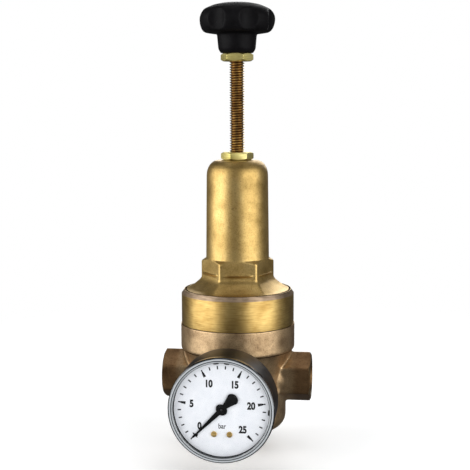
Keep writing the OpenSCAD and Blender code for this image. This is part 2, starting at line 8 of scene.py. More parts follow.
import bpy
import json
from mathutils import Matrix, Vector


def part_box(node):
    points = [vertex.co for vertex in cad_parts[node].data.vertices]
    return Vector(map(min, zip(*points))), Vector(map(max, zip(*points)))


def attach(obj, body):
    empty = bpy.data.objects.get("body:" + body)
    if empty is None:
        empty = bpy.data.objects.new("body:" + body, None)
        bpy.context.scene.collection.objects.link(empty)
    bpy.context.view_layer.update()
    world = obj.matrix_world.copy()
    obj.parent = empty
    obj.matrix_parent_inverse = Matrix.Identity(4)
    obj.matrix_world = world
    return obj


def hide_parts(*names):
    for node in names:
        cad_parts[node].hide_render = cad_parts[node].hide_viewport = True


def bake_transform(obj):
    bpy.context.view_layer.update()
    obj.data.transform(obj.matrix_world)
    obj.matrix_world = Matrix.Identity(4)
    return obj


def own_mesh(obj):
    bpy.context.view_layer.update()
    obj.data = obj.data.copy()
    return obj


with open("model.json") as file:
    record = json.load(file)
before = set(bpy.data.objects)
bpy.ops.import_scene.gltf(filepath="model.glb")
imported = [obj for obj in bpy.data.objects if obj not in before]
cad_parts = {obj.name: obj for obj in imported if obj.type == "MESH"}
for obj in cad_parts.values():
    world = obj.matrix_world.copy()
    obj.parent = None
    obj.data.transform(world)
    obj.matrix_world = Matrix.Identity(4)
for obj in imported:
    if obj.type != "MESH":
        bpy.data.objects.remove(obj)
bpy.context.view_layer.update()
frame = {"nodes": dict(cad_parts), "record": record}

# %% Modules and units
import json
import math

import bmesh
import bpy
from mathutils import Matrix, Vector

MM = 0.001
VALVE = "valve"                      # the body that everything fixed rides on

# %% [markdown]
# The driving sizes come from the frame's own boxes, so the looks follow the design. A few sizes
# that a box can't give, such as a thread's pitch, are standard values.

# %% Sizes read from the frame
body_low, body_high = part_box("valve_body")
bonnet_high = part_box("spring_bonnet")[1]
spindle_low, spindle_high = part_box("adjusting_spindle")
grip_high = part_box("star_knob")[1]
case_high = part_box("gauge_case")[1]
window_low, window_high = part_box("gauge_window")
dial_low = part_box("gauge_dial")[0]

seam_z = body_high.z                 # joint between body and bonnet
foot_z = body_low.z                  # underside of the casting
half_pipe = body_high.x              # distance from the spindle's axis to a pipe face
bonnet_top = bonnet_high.z
ring_r = bonnet_high.x               # turned ring at the bonnet's foot
gauge_r = window_high.x
gauge_front = window_low.y
gauge_z = (window_low.z + window_high.z) / 2
pipe_z = gauge_z + 2 * MM
print(f"seam {seam_z / MM:.1f} mm, top {grip_high.z / MM:.1f} mm, ring {2 * ring_r / MM:.1f} mm across")

# %% [markdown]
# ## Mesh helpers
# Most of this object comes off a lathe. `turned` revolves an outline of (radius, height) points.
# Where the outline meets the axis it makes one shared point, so the pole is closed. `rounded`
# replaces each sharp corner of an outline by a small arc, because a real edge always catches light.


# %% Turn an outline round an axis
def new_object(name, verts, faces):
    mesh = bpy.data.meshes.new(name)
    mesh.from_pydata([tuple(v) for v in verts], [], faces)
    mesh.update()
    obj = bpy.data.objects.new(name, mesh)
    bpy.context.scene.collection.objects.link(obj)
    return obj


def outward(obj):
    bm = bmesh.new()
    bm.from_mesh(obj.data)
    bmesh.ops.remove_doubles(bm, verts=bm.verts, dist=1e-7)
    bmesh.ops.recalc_face_normals(bm, faces=bm.faces)
    bm.to_mesh(obj.data)
    bm.free()
    return obj


def smooth(obj, degrees=35):
    obj.data.shade_smooth()
    obj.data.set_sharp_from_angle(angle=math.radians(degrees))
    return obj


def rounded(outline, radius, steps=3):
    points = [Vector(p) for p in outline]
    done = [points[0]]
    for before, here, after in zip(points, points[1:], points[2:]):
        a, b = before - here, after - here
        cut = min(radius, a.length * 0.45, b.length * 0.45)
        start, end = here + a.normalized() * cut, here + b.normalized() * cut
        for i in range(steps + 1):
            t = i / steps
            done.append(start * (1 - t) ** 2 + here * 2 * t * (1 - t) + end * t ** 2)
    done.append(points[-1])
    return [(p.x, p.y) for p in done]


def turned(name, outline, place=Matrix(), sides=128, ring=False):
    verts, rows = [], []
    for r, z in outline:
        if r < 1e-6:
            rows.append([len(verts)] * sides)
            verts.append((0, 0, z))
        else:
            rows.append(list(range(len(verts), len(verts) + sides)))
            for k in range(sides):
                a = 2 * math.pi * k / sides
                verts.append((r * math.cos(a), r * math.sin(a), z))
    if ring:
        rows.append(rows[0])
    faces = []
    for low, high in zip(rows, rows[1:]):
        for k in range(sides):
            n = (k + 1) % sides
            corners = [low[k], low[n], high[n], high[k]]
            faces.append(list(dict.fromkeys(corners)))
    obj = new_object(name, [place @ Vector(v) for v in verts], [f for f in faces if len(f) > 2])
    return smooth(outward(obj))


# %% [markdown]
# ## Casting and machining helpers
# A casting has soft, flowing inner corners, and machining then cuts crisp faces into it. The same
# order works here. `cast` fuses overlapping rough shapes with a voxel remesh and relaxes them, and
# `machined` cuts tools away with the Boolean modifier, whose new faces take the tool's material.


# %% Cast, forge and machine
def evaluated_copy(obj, name):
    bpy.context.view_layer.update()
    graph = bpy.context.evaluated_depsgraph_get()
    mesh = bpy.data.meshes.new_from_object(obj.evaluated_get(graph), depsgraph=graph)
    mesh.name = name
    done = bpy.data.objects.new(name, mesh)
    bpy.context.scene.collection.objects.link(done)
    return done


def joined(name, parts):
    bm = bmesh.new()
    for part in parts:
        bm.from_mesh(part.data)
    mesh = bpy.data.meshes.new(name)
    bm.to_mesh(mesh)
    bm.free()
    for part in parts:
        bpy.data.objects.remove(part)
    obj = bpy.data.objects.new(name, mesh)
    bpy.context.scene.collection.objects.link(obj)
    return obj


def made_of(obj, *materials):
    obj.data.materials.clear()
    for material in materials:
        obj.data.materials.append(material)
    return obj


def cast(name, parts, voxel, relax):
    blank = joined(name + "_rough", parts)
    remesh = blank.modifiers.new("fuse", "REMESH")
    remesh.mode = "VOXEL"
    remesh.voxel_size = voxel
    relaxing = blank.modifiers.new("relax", "SMOOTH")
    relaxing.factor = 0.5
    relaxing.iterations = relax
    done = evaluated_copy(blank, name)
    bpy.data.objects.remove(blank)
    return done


def without_slivers(obj):
    """Collapses the zero-area faces that cutting and bevelling leave."""
    bm = bmesh.new()
    bm.from_mesh(obj.data)
    bmesh.ops.dissolve_degenerate(bm, edges=bm.edges, dist=2e-6)
    bm.to_mesh(obj.data)
    bm.free()
    return obj


def machined(obj, tools):
    name = obj.name
    for tool in tools:
        cut = obj.modifiers.new(tool.name, "BOOLEAN")
        cut.operation = "DIFFERENCE"
        cut.solver = "MANIFOLD"
        cut.material_mode = "TRANSFER"
        cut.object = tool
    obj.name = name + "_blank"
    done = evaluated_copy(obj, name)
    for old in [obj, *tools]:
        bpy.data.objects.remove(old)
    return smooth(without_slivers(done), 38)


def along_x(side=1):
    """Turns +Z to the pipe's axis, pointing out of the pipe end on that side."""
    return Matrix.Translation((0, 0, pipe_z)) @ Matrix.Rotation(side * math.pi / 2, 4, "Y")


def along_gauge():
    """Turns +Z to the gauge's axis, pointing from its front to the valve."""
    return Matrix.Translation((0, gauge_front, gauge_z)) @ Matrix.Rotation(-math.pi / 2, 4, "X")


def along_y(side):
    """Turns +Z to the axis of the gauge's boss (side -1) or of the boss behind it (side 1)."""
    return Matrix.Translation((0, 0, gauge_z)) @ Matrix.Rotation(-side * math.pi / 2, 4, "X")


def rod(name, r, low, high, place=Matrix(), sides=96):
    return turned(name, [(0, low), (r, low), (r, high), (0, high)], place, sides)


def hexagon(name, across, low, high, turn, place=Matrix()):
    corner = across / 2 / math.cos(math.pi / 6)
    obj = rod(name, corner, low, high, place @ Matrix.Rotation(turn, 4, "Z"), 6)
    obj.data.shade_flat()
    return obj


# %% [markdown]
# ## Materials
# One function turns the hex colours that a painter would pick into the linear values that a
# renderer needs, and one adds a node with its settings and links. The patterns below are made with
# these two: blobs of colour, stains laid on a colour, and a finish whose fine relief is bump.


# %% Colour and node helpers
def linear(hex_colour):
    values = [int(hex_colour[i:i + 2], 16) / 255 for i in (1, 3, 5)]
    return tuple(v / 12.92 if v <= 0.04045 else ((v + 0.055) / 1.055) ** 2.4 for v in values) + (1,)


def set_inputs(tree, node, inputs):
    """Sets each input to a value, or links it to a socket."""
    for key, value in inputs.items():
        if isinstance(value, bpy.types.NodeSocket):
            tree.links.new(value, node.inputs[key])
        else:
            node.inputs[key].default_value = value


def add(tree, kind, inputs=None, stops=(), **settings):
    """Adds a node with its settings, its inputs and, on a colour ramp, its (place, colour) stops."""
    node = tree.nodes.new(kind)
    for key, value in settings.items():
        setattr(node, key, value)
    set_inputs(tree, node, inputs or {})
    if stops:
        elements = node.color_ramp.elements
        while len(elements) < len(stops):
            elements.new(0.5)
        for element, (place, colour) in zip(elements, stops):
            element.position = place
            element.color = linear(colour) if isinstance(colour, str) else (colour,) * 3 + (1,)
    return node


# %% Patterns that the finishes share
def started(name):
    """A new material with its tree, its Principled shader and its Object coordinates."""
    material = bpy.data.materials.new(name)
    material.use_nodes = True
    tree = material.node_tree
    shader = tree.nodes["Principled BSDF"]
    place = add(tree, "ShaderNodeTexCoord").outputs["Object"]
    return material, tree, shader, place


def mottled(tree, place, size, detail, stops, fineness=0.55):
    """Blobs about `size` metres across, first as a value and then in the colours of `stops`."""
    blobs = add(tree, "ShaderNodeTexNoise", {"Vector": place, "Scale": 1 / size, "Detail": detail,
                                             "Roughness": fineness}).outputs["Fac"]
    return blobs, add(tree, "ShaderNodeValToRGB", {"Fac": blobs}, stops).outputs["Color"]


def stained(tree, base, *layers):
    """Multiplies a colour by (colour, share) layers, one after the other."""
    for colour, share in layers:
        base = add(tree, "ShaderNodeMix", {0: share, 6: base, 7: colour}, data_type="RGBA",
                   blend_type="MULTIPLY").outputs[2]
    return base


def distance(tree, place, mask, centre=(0, 0, 0)):
    """Distance from a centre, counting only the axes whose mask is 1."""
    off = add(tree, "ShaderNodeVectorMath", {0: place, 1: centre}, operation="SUBTRACT").outputs[0]
    kept = add(tree, "ShaderNodeVectorMath", {0: off, 1: mask}, operation="MULTIPLY").outputs[0]
    return add(tree, "ShaderNodeVectorMath", {0: kept}, operation="LENGTH").outputs["Value"]


def finished(tree, shader, place, rough, grain, inputs):
    """Sets the shader. `rough` is a number, or a value with the roughness at its 0 and at its 1.
    `grain` stacks bumps of (size in metres or a ready height, detail, depth in metres)."""
    if isinstance(rough, tuple):
        value, at_zero, at_one = rough
        rough = add(tree, "ShaderNodeMapRange", {"Value": value, "To Min": at_zero,
                                                 "To Max": at_one}).outputs["Result"]
    set_inputs(tree, shader, {"Roughness": rough, **inputs})
    below = {}
    for height, detail, depth in grain:
        if isinstance(height, float):
            height = add(tree, "ShaderNodeTexNoise", {"Vector": place, "Scale": 1 / height,
                                                      "Detail": detail, "Roughness": 0.55}).outputs["Fac"]
        bump = add(tree, "ShaderNodeBump", {"Height": height, "Distance": depth, "Strength": 1.0, **below})
        below = {"Normal": bump.outputs["Normal"]}
    set_inputs(tree, shader, below)


# %% [markdown]
# ## Cast and machined gunmetal
# Gunmetal is a tin bronze that pours well and doesn't lose its zinc to water. The mould's sand
# leaves grains of a few tenths of a millimetre and the blasting that cleans it leaves them matt.
# The eye reads a pinkish tan that turns brown in the hollows. The grain is bump at two sizes, and
# a slow noise mixes three tones, because a casting is never one colour. The pipe ends are gripped
# and wrenched, so their skin is browner. Where a cutter has been, the metal is yellower and
# smoother. The tapped threads, the passages and the pipe mouths get dark brown painted shade.


# %% Sand-cast and machined gunmetal
def make_cast_gunmetal():
    material, tree, shader, place = started("sand_cast_gunmetal")
    base = mottled(tree, place, 9 * MM, 4, [(0.28, "#8f7658"), (0.5, "#b39874"), (0.72, "#c9ad87")])[1]
    speck, dirt = mottled(tree, place, 0.7 * MM, 2, [(0.28, "#7d6450"), (0.52, "#ffffff")])
    reach = distance(tree, place, (1, 0, 0))
    handled = add(tree, "ShaderNodeMapRange", {"Value": reach, "From Min": 33 * MM, "From Max": 40 * MM,
                                               "To Min": 0.0, "To Max": 0.9},
                  interpolation_type="SMOOTHSTEP").outputs[0]
    skin = stained(tree, base, (dirt, 0.45), (linear("#b9a796"), handled))
    finished(tree, shader, place, (speck, 0.50, 0.36),
             [(2.2 * MM, 3, 0.12 * MM), (0.5 * MM, 2, 0.06 * MM)], {"Base Color": skin, "Metallic": 0.97})
    return material


def make_machined_gunmetal():
    material, tree, shader, place = started("machined_gunmetal")
    base = mottled(tree, place, 5 * MM, 3, [(0.3, "#94774f"), (0.7, "#b39668")])[1]
    finished(tree, shader, place, 0.34, [(0.25 * MM, 1, 0.012 * MM)], {"Base Color": base, "Metallic": 1.0})
    return material


cast_gunmetal = make_cast_gunmetal()
machined_gunmetal = make_machined_gunmetal()
print("made", cast_gunmetal.name, "and", machined_gunmetal.name)

# %% [markdown]
# ## Brass in four states
# Hot-forged brass is squeezed in a steel die and then blasted, so it is smoother than a casting
# but has no cutter marks. It is dull gold with brown tarnish in slow clouds and a few dark scale
# spots. The turned ring shows the lathe's feed as fine lines round the axis, so its bump noise is
# squeezed along that axis. The nuts are cut from bright drawn bar. The spindle's thread is rolled,
# and a ramp on the radius makes it dark brown in the roots and light gold on the crests. The
# lathe's recipe in other colours also gives worn edges, and dark brown painted shade in the
# grooves and in the tapped bores.


# %% Forged, turned, bar and thread brass
def make_forged_brass():
    material, tree, shader, place = started("forged_blasted_brass")
    cloud, base = mottled(tree, place, 16 * MM, 4, [(0.30, "#957b46"), (0.5, "#bc9e61"), (0.70, "#ceb274")])
    fine = mottled(tree, place, 0.8 * MM, 2, [(0.28, "#9c8a68"), (0.52, "#ffffff")])[1]
    spots = mottled(tree, place, 3.4 * MM, 5, [(0.27, "#5a4526"), (0.34, "#ffffff")], 0.7)[1]
    finished(tree, shader, place, (cloud, 0.5, 0.36), [(3.5 * MM, 2, 0.07 * MM), (0.45 * MM, 2, 0.03 * MM)],
             {"Base Color": stained(tree, base, (fine, 0.4), (spots, 0.7)), "Metallic": 0.95})
    return material


def make_turned_brass(name, axis, low, high, roughness, feed):
    """Lathe-cut brass; feed is the spacing of the tool's lines along the axis, in metres."""
    material, tree, shader, place = started(name)
    squeeze = [1 / (8 * MM)] * 3
    squeeze[axis] = 1 / feed
    lines = add(tree, "ShaderNodeMapping", {"Vector": place, "Scale": squeeze}).outputs["Vector"]
    line, streak = mottled(tree, lines, 1.0, 2, [(0.3, "#a39a86"), (0.55, "#ffffff")], 0.5)
    base = mottled(tree, place, 11 * MM, 3, [(0.32, low), (0.68, high)])[1]
    finished(tree, shader, place, (line, roughness + 0.1, roughness - 0.05), [(line, 0, 0.02 * MM)],
             {"Base Color": stained(tree, base, (streak, 0.45)), "Metallic": 1.0})
    return material


def make_thread_brass(root_r, crest_r):
    material, tree, shader, place = started("rolled_thread_brass")
    # Dark brown in the roots and light gold on the crests, by the distance from the axis.
    depth = add(tree, "ShaderNodeMapRange", {"Value": distance(tree, place, (1, 1, 0)),
                                             "From Min": root_r, "From Max": crest_r}).outputs[0]
    base = add(tree, "ShaderNodeValToRGB", {"Fac": depth},
               [(0.1, "#6a4b2b"), (0.5, "#b8935c"), (0.9, "#e0c58a")]).outputs["Color"]
    stain = mottled(tree, place, 4 * MM, 3, [(0.35, "#a08468"), (0.6, "#ffffff")])[1]
    finished(tree, shader, place, 0.33, [(0.3 * MM, 2, 0.015 * MM)],
             {"Base Color": stained(tree, base, (stain, 0.6)), "Metallic": 0.95})
    return material


screw_r = spindle_high.x                       # crest of the 3/8 inch Whitworth thread
pitch = 25.4 / 16 * MM
root_r = screw_r - 0.6403 * pitch              # a Whitworth thread is 0.6403 of its pitch deep
forged_brass = make_forged_brass()
turned_brass = make_turned_brass("lathe_turned_brass", 2, "#987b45", "#b69b60", 0.37, 0.45 * MM)
bar_brass = make_turned_brass("drawn_bar_brass", 2, "#d8c976", "#f0e49c", 0.40, 0.3 * MM)
gauge_brass = make_turned_brass("gauge_socket_brass", 1, "#b8984c", "#d3b767", 0.28, 0.4 * MM)
thread_brass = make_thread_brass(root_r, screw_r)
worn_edge = make_turned_brass("worn_forging_edge", 2, "#7f6e5c", "#a8927a", 0.5, 0.8 * MM)
# Painted shade: near-black brown for the grooves and seam gaps, where shade falls.
groove_painted_shade = make_turned_brass("painted_shade_in_groove", 2, "#33261a", "#54412a", 0.6, 0.6 * MM)
screw_brass = make_turned_brass("brass_screw_heads", 1, "#f0cb7c", "#ffe9b0", 0.55, 0.3 * MM)
# Painted shade: dark brown for the tapped threads, the passages and the pipe mouths.
bore_painted_shade = make_turned_brass("tapped_bore_painted_shade", 0, "#4f3c27", "#765c3d", 0.45, 0.5 * MM)
print("brass:", forged_brass.name, turned_brass.name, bar_brass.name, thread_brass.name)

# %% [markdown]
# ## Plastics, glass, paint and rubber
# The grip is matt black phenolic with the fine grain of its mould. The gauge case is glossy ABS,
# smooth with a faint orange peel. The snap-in window is clear styrene: the pane shows the dial,
# and its stepped rim is coloured in pale grey rings, the rim's frosted tone, between dark rings of
# painted shade that stand for the black case seen through the clear rim and the gap inside it. One
# material on the distance from the gauge's axis gives both, with alpha for the clear part, which
# also lets light through to the dial. The dial is white lacquer on aluminium, and its marks are
# matt ink.


# %% Plastics and paints
def make_plastic(name, dark, light, roughness, grain, depth, spread, gloss=0.5):
    material, tree, shader, place = started(name)
    tone, base = mottled(tree, place, spread, 4, [(0.3, dark), (0.7, light)])
    finished(tree, shader, place, (tone, roughness * 1.15, roughness * 0.85), [(grain, 2, depth)],
             {"Base Color": base, "IOR": 1.5, "Specular IOR Level": gloss})
    return material


def make_window_plastic():
    material, tree, shader, place = started("clear_styrene_window")
    radius = distance(tree, place, (1, 0, 1), (0, 0, gauge_z))
    ring = add(tree, "ShaderNodeMapRange", {"Value": radius, "From Min": 28 * MM,
                                            "From Max": gauge_r}).outputs[0]
    # The dark rings are painted shade for the black case seen through the rim and the gap inside it; the pale
    # grey rings are the rim's frosted tone.
    rings = [(0.0, "#08090a"), (0.10, "#08090a"), (0.16, "#b4b8bb"), (0.34, "#a8acaf"), (0.38, "#26292b"),
             (0.48, "#26292b"), (0.54, "#b9bdc0"), (0.74, "#a9adb0"), (0.80, "#1c1e20"), (0.90, "#0c0d0e")]
    clear = [(0.0, 0.035), (0.05, 0.5), (0.10, 0.8), (0.18, 0.55), (0.36, 0.85), (0.8, 0.9), (0.9, 0.97)]
    colour, alpha = [add(tree, "ShaderNodeValToRGB", {"Fac": ring}, stops).outputs["Color"]
                     for stops in (rings, clear)]
    finished(tree, shader, place, 0.08, [(6 * MM, 1, 0.01 * MM)],
             {"Base Color": colour, "Alpha": alpha, "IOR": 1.59})
    return material


grip_plastic = make_plastic("matt_black_phenolic", "#060506", "#0e0d0f", 0.55, 0.6 * MM, 0.03 * MM,
                            7 * MM, 0.07)
case_plastic = make_plastic("glossy_black_abs", "#0d0b0a", "#1a1614", 0.42, 3 * MM, 0.02 * MM,
                            14 * MM, 0.2)
dial_lacquer = make_plastic("white_dial_lacquer", "#e1e4e9", "#eaecf0", 0.5, 0.5 * MM, 0.004 * MM,
                            5 * MM, 0.3)
dial_ink = make_plastic("matt_black_ink", "#0b0b0c", "#141416", 0.6, 0.3 * MM, 0.003 * MM, 1.5 * MM)
pointer_lacquer = make_plastic("black_pointer_lacquer", "#080808", "#101011", 0.5, 0.4 * MM,
                               0.004 * MM, 3 * MM, 0.25)
nitrile = make_plastic("nitrile_rubber", "#1a1b1d", "#26272a", 0.65, 0.4 * MM, 0.02 * MM, 4 * MM)
window_plastic = make_window_plastic()
print("made", grip_plastic.name, case_plastic.name, window_plastic.name)

# %% [markdown]
# ## Hidden steels and copper
# Inside sit a zinc-plated plate, stainless trim, lacquered spring wire, and copper for the seal
# and the gauge's tube. They are seen only when the valve is taken apart, so one recipe is enough.


# %% Steels and copper
def make_metal(name, low, high, roughness, grain):
    material, tree, shader, place = started(name)
    tone, base = mottled(tree, place, 5 * MM, 3, [(0.3, low), (0.7, high)])
    finished(tree, shader, place, (tone, roughness * 1.2, roughness * 0.8), [(grain, 2, 0.01 * MM)],
             {"Base Color": base, "Metallic": 1.0})
    return material


zinc_steel = make_metal("zinc_plated_steel", "#a3a5a6", "#c3c5c6", 0.36, 0.4 * MM)
stainless = make_metal("turned_stainless_steel", "#9b9c9d", "#b8b9ba", 0.28, 0.3 * MM)
spring_wire = make_metal("lacquered_spring_wire", "#1d2024", "#33373c", 0.4, 0.5 * MM)
soft_copper = make_metal("annealed_copper", "#9c5f3e", "#bd7a52", 0.4, 0.4 * MM)
print("made", zinc_steel.name, stainless.name, spring_wire.name, soft_copper.name)

# %% [markdown]
# ## The body casting
# The body is poured in sand round a core, then machined only where it matters: the foot, the
# seam, the pipe ends and the tappings. So the rough shapes are a turned bowl with its band, a
# hexagonal bar through both pipe ends with a cone at each root, and a boss front and back. They
# overlap freely, because the voxel remesh fuses them, and relaxing gives the cast inner corners.

# %% Rough casting
across_pipe = 28 * MM
boss_face = 38.5 * MM
band_r = 36.5 * MM
band_z = seam_z - 16 * MM


def body_outline():
    bowl = [(0, foot_z - 0.8 * MM), (20 * MM, foot_z - 0.8 * MM), (20 * MM, foot_z + 4 * MM)]
    for step in range(7):
        a = math.radians(-90 + 15 * step)
        bowl.append((22 * MM + 9 * MM * math.cos(a), foot_z + 13 * MM + 9 * MM * math.sin(a)))
    for step in range(9):
        t = step / 8
        bowl.append((31 * MM + 4.2 * MM * t * t, pipe_z - 2 * MM + (band_z - pipe_z + 1.4 * MM) * t))
    return bowl + [(band_r, band_z + 0.3 * MM), (band_r, seam_z + 1 * MM), (0, seam_z + 1 * MM)]


rough = [turned("bowl", body_outline(), sides=160),
         hexagon("pipe_bar", across_pipe, -half_pipe - 0.8 * MM, half_pipe + 0.8 * MM, 0, along_x()),
         rod("bosses", 11 * MM, -boss_face - 0.7 * MM, boss_face + 0.7 * MM, along_y(-1))]
for side in (-1, 1):
    rough.append(turned("root", [(0, 8 * MM), (17.8 * MM, 10 * MM), (14.9 * MM, 28 * MM),
                                 (13.4 * MM, 33 * MM), (0, 33 * MM)], along_x(side), 96))
    rough.append(turned("boss_root", [(0, 20 * MM), (16 * MM, 26 * MM), (12 * MM, 31 * MM),
                                      (10.6 * MM, 36 * MM), (0, 36 * MM)], along_y(side), 96))
valve_casting = cast("valve_casting", rough, 0.58 * MM, 13)
# The third and fourth finishes are painted shade, for the band groove and for the bores.
made_of(valve_casting, cast_gunmetal, machined_gunmetal, groove_painted_shade, bore_painted_shade)
print("rough casting:", len(valve_casting.data.polygons), "faces")

# %% [markdown]
# ## Screw threads
# A thread is a profile carried along a helix. Here each row of points climbs one pitch per turn,
# so the crest follows the grid and stays smooth. `profile` holds one pitch of the flank, and the
# ends fade to a plain round so that they close. A right-hand thread rises as it turns from +X to
# +Y. The same function makes the spindle and, as a cutter, the tapped pipe ends.


# %% Helical thread
def threaded(name, core, crest, pitch, low, high, place=Matrix(), sides=64, fade=1.0, ends=()):
    """Round bar threaded from low to high; ends are (radius, height) points after the last turn."""
    profile = [0.0, 0.12, 0.5, 0.88, 1.0, 0.88, 0.5, 0.12]
    count = len(profile)
    first, last = -count, int((high - low) / pitch * count) + 1
    verts, index = [], {}
    for n in range(first, last + 1):
        for k in range(sides):
            z = min(max(low + pitch * (n / count + k / sides), low), high)
            soft = min(1.0, (z - low) / (fade * pitch), (high - z) / (fade * pitch))
            r = core + (crest - core) * profile[n % count] * max(soft, 0.0)
            index[n, k] = len(verts)
            verts.append((r * math.cos(2 * math.pi * k / sides), r * math.sin(2 * math.pi * k / sides), z))
    faces = []
    for n in range(first, last):
        for k in range(sides):
            m, j = (n, k + 1) if k + 1 < sides else (n + count, 0)
            if (m + 1, j) in index:
                faces.append((index[n, k], index[m, j], index[m + 1, j], index[n + 1, k]))
    obj = new_object(name, verts, faces)
    bm = bmesh.new()
    bm.from_mesh(obj.data)
    bmesh.ops.remove_doubles(bm, verts=bm.verts, dist=1e-6)
    bmesh.ops.dissolve_degenerate(bm, edges=bm.edges, dist=1e-6)
    open_edges = [e for e in bm.edges if e.is_boundary]
    for loop in (0, 1):
        ring = [e for e in open_edges if (e.verts[0].co.z > (low + high) / 2) == bool(loop)]
        for r, z in [p for p in ends if (p[1] > (low + high) / 2) == bool(loop)]:
            grown_ring = bmesh.ops.extrude_edge_only(bm, edges=ring)["geom"]
            for v in [g for g in grown_ring if isinstance(g, bmesh.types.BMVert)]:
                flat = Vector((v.co.x, v.co.y, 0)).normalized() * r
                v.co = (flat.x, flat.y, z)
            ring = [g for g in grown_ring if isinstance(g, bmesh.types.BMEdge)]
        bmesh.ops.contextual_create(bm, geom=ring)
    bmesh.ops.recalc_face_normals(bm, faces=bm.faces)
    bm.transform(place)
    bm.to_mesh(obj.data)
    left = sum(e.is_boundary for e in bm.edges)
    bm.free()
    print(name, len(obj.data.polygons), "faces,", left, "open edges")
    return smooth(obj, 40)


# %% [markdown]
# Each cutter below is one real machining step: faces and chamfers turned at 30 degrees, G 1/2
# threads tapped 15 mm deep, passages drilled, chambers and the bonnet's socket bored.

# %% Machine the casting
pipe_minor, pipe_crest, pipe_pitch = 9.315 * MM, 10.478 * MM, 25.4 / 14 * MM
tap_depth = 15 * MM
passage_r = 7.5 * MM
duct_r, duct_x = 6 * MM, 17 * MM               # inlet duct below the pipe's axis, outlet duct above
socket_r, socket_floor = 31 * MM, 66 * MM      # where the bonnet's skirt sits
seat_r, plug_r = 9.05 * MM, 15.05 * MM
tapping_r = 5.82 * MM
beyond_r = 42 * MM                             # past everything on the casting


tools = [
    turned("socket_cut", [(0, socket_floor), (socket_r, socket_floor), (socket_r, seam_z),
                          (beyond_r, seam_z), (beyond_r, seam_z + 6 * MM), (0, seam_z + 6 * MM)],
           sides=160),
    rod("foot_cut", beyond_r, 0, foot_z, sides=128),
    turned("band_groove", [(35.5 * MM, band_z - 0.7 * MM), (39 * MM, band_z - 0.9 * MM),
                           (39 * MM, band_z + 0.35 * MM), (35.7 * MM, band_z + 0.1 * MM)],
           sides=160, ring=True),
    rod("outlet_chamber", 24 * MM, 55 * MM, 66.5 * MM),
    rod("inlet_chamber", 17 * MM, 16.9 * MM, 36 * MM),
    rod("seat_bore", seat_r, 35 * MM, 56 * MM),
    rod("plug_bore", plug_r, foot_z - 1 * MM, 17.5 * MM),
    rod("plug_recess", 18 * MM, foot_z - 1 * MM, foot_z + 1.6 * MM),
    rod("inlet_duct", duct_r, 30 * MM, pipe_z, Matrix.Translation((-duct_x, 0, 0))),
    rod("outlet_duct", duct_r, pipe_z, 56 * MM, Matrix.Translation((duct_x, 0, 0)))]
for side in (-1, 1):
    across = along_x(side)
    tools += [
        turned("face_cut", [(0, half_pipe), (14.1 * MM, half_pipe), (18.5 * MM, half_pipe - 2.5 * MM),
                            (18.5 * MM, half_pipe + 4 * MM), (0, half_pipe + 4 * MM)], across),
        turned("mouth_cut", [(0, half_pipe - 3 * MM), (9.3 * MM, half_pipe - 2.2 * MM),
                             (11.3 * MM, half_pipe - 0.2 * MM), (11.5 * MM, half_pipe + 1 * MM),
                             (0, half_pipe + 1 * MM)], across),
        threaded("pipe_tap", pipe_minor, pipe_crest, pipe_pitch, half_pipe - tap_depth,
                 half_pipe + 0.5 * MM, across, 72, 0.6),
        rod("passage", passage_r, duct_x, half_pipe - tap_depth + 1 * MM, across)]
    tools += [rod("boss_cut", 14 * MM, boss_face, boss_face + 4 * MM, along_y(side)),
              rod("gauge_tap", tapping_r, 26 * MM, boss_face + 1 * MM, along_y(side))]
# The band groove, the taps, the passages and the mouths are cut with painted shade.
cut_finish = {"band_groove": groove_painted_shade, "pipe_tap": bore_painted_shade, "passage": bore_painted_shade,
              "mouth_cut": bore_painted_shade}
for tool in tools:
    made_of(tool, cut_finish.get(tool.name.split(".")[0], machined_gunmetal))
valve_casting = machined(valve_casting, tools)
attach(valve_casting, VALVE)
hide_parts("valve_body")
print("casting:", len(valve_casting.data.polygons), "faces")

# %% [markdown]
# ## The spring bonnet
# The bonnet is one hot forging: a bell that houses the set spring, a hexagon to screw it in by,
# and a flare that spreads to the flange. The hexagon's ridges run on down the flare and fade, as
# the die had to let the metal flow. The flare is therefore made by rule: at every angle it takes
# a share of the hexagon's outline, and the share falls towards the flange. Only the flange's rim,
# the skirt and the bore are turned.

# %% Rough forging
hexagon_across = 40.5 * MM
hexagon_corner = 23.1 * MM
hexagon_turn = math.radians(8)
ring_top = seam_z + 20 * MM
flare_top = ring_top + 13 * MM
hexagon_top = pipe_z + 76.5 * MM
shoulder_z = bonnet_top - 9.5 * MM


def hexagon_share(angle):
    """Outline radius at an angle as a share of the turned corner's radius."""
    off = (angle - hexagon_turn + math.pi / 6) % (math.pi / 3) - math.pi / 6
    flat = hexagon_across / 2 / math.cos(math.pi / 6 - abs(off))
    return min(flat, hexagon_corner) / hexagon_corner


def flare(name, sides=192):
    foot = ring_top - 1.5 * MM                     # buried in the flange
    rows = [(0, foot, 0), (33.6 * MM, foot, 0), (33.8 * MM, ring_top + 2.0 * MM, 0.0),
            (31.4 * MM, ring_top + 3.0 * MM, 0.45), (29.2 * MM, ring_top + 4.4 * MM, 0.62),
            (27.4 * MM, ring_top + 5.6 * MM, 0.72)]
    for degrees in (58, 48, 38, 28, 18, 8, 0):
        a = math.radians(degrees)
        rows.append((22.4 * MM + 7 * MM * (1 - math.cos(a)), flare_top - 7 * MM * math.sin(a),
                     1.0 - 0.22 * math.sin(a)))
    rows.append((0, flare_top, 0))
    obj = turned(name, [(r, z) for r, z, share in rows], sides=sides)
    shares = {round(z, 6): share for r, z, share in rows}
    for v in obj.data.vertices:
        share = shares[min(shares, key=lambda z: abs(z - v.co.z))]
        pull = 1 - share * (1 - hexagon_share(math.atan2(v.co.y, v.co.x)))
        v.co.x, v.co.y = v.co.x * pull, v.co.y * pull
    return obj


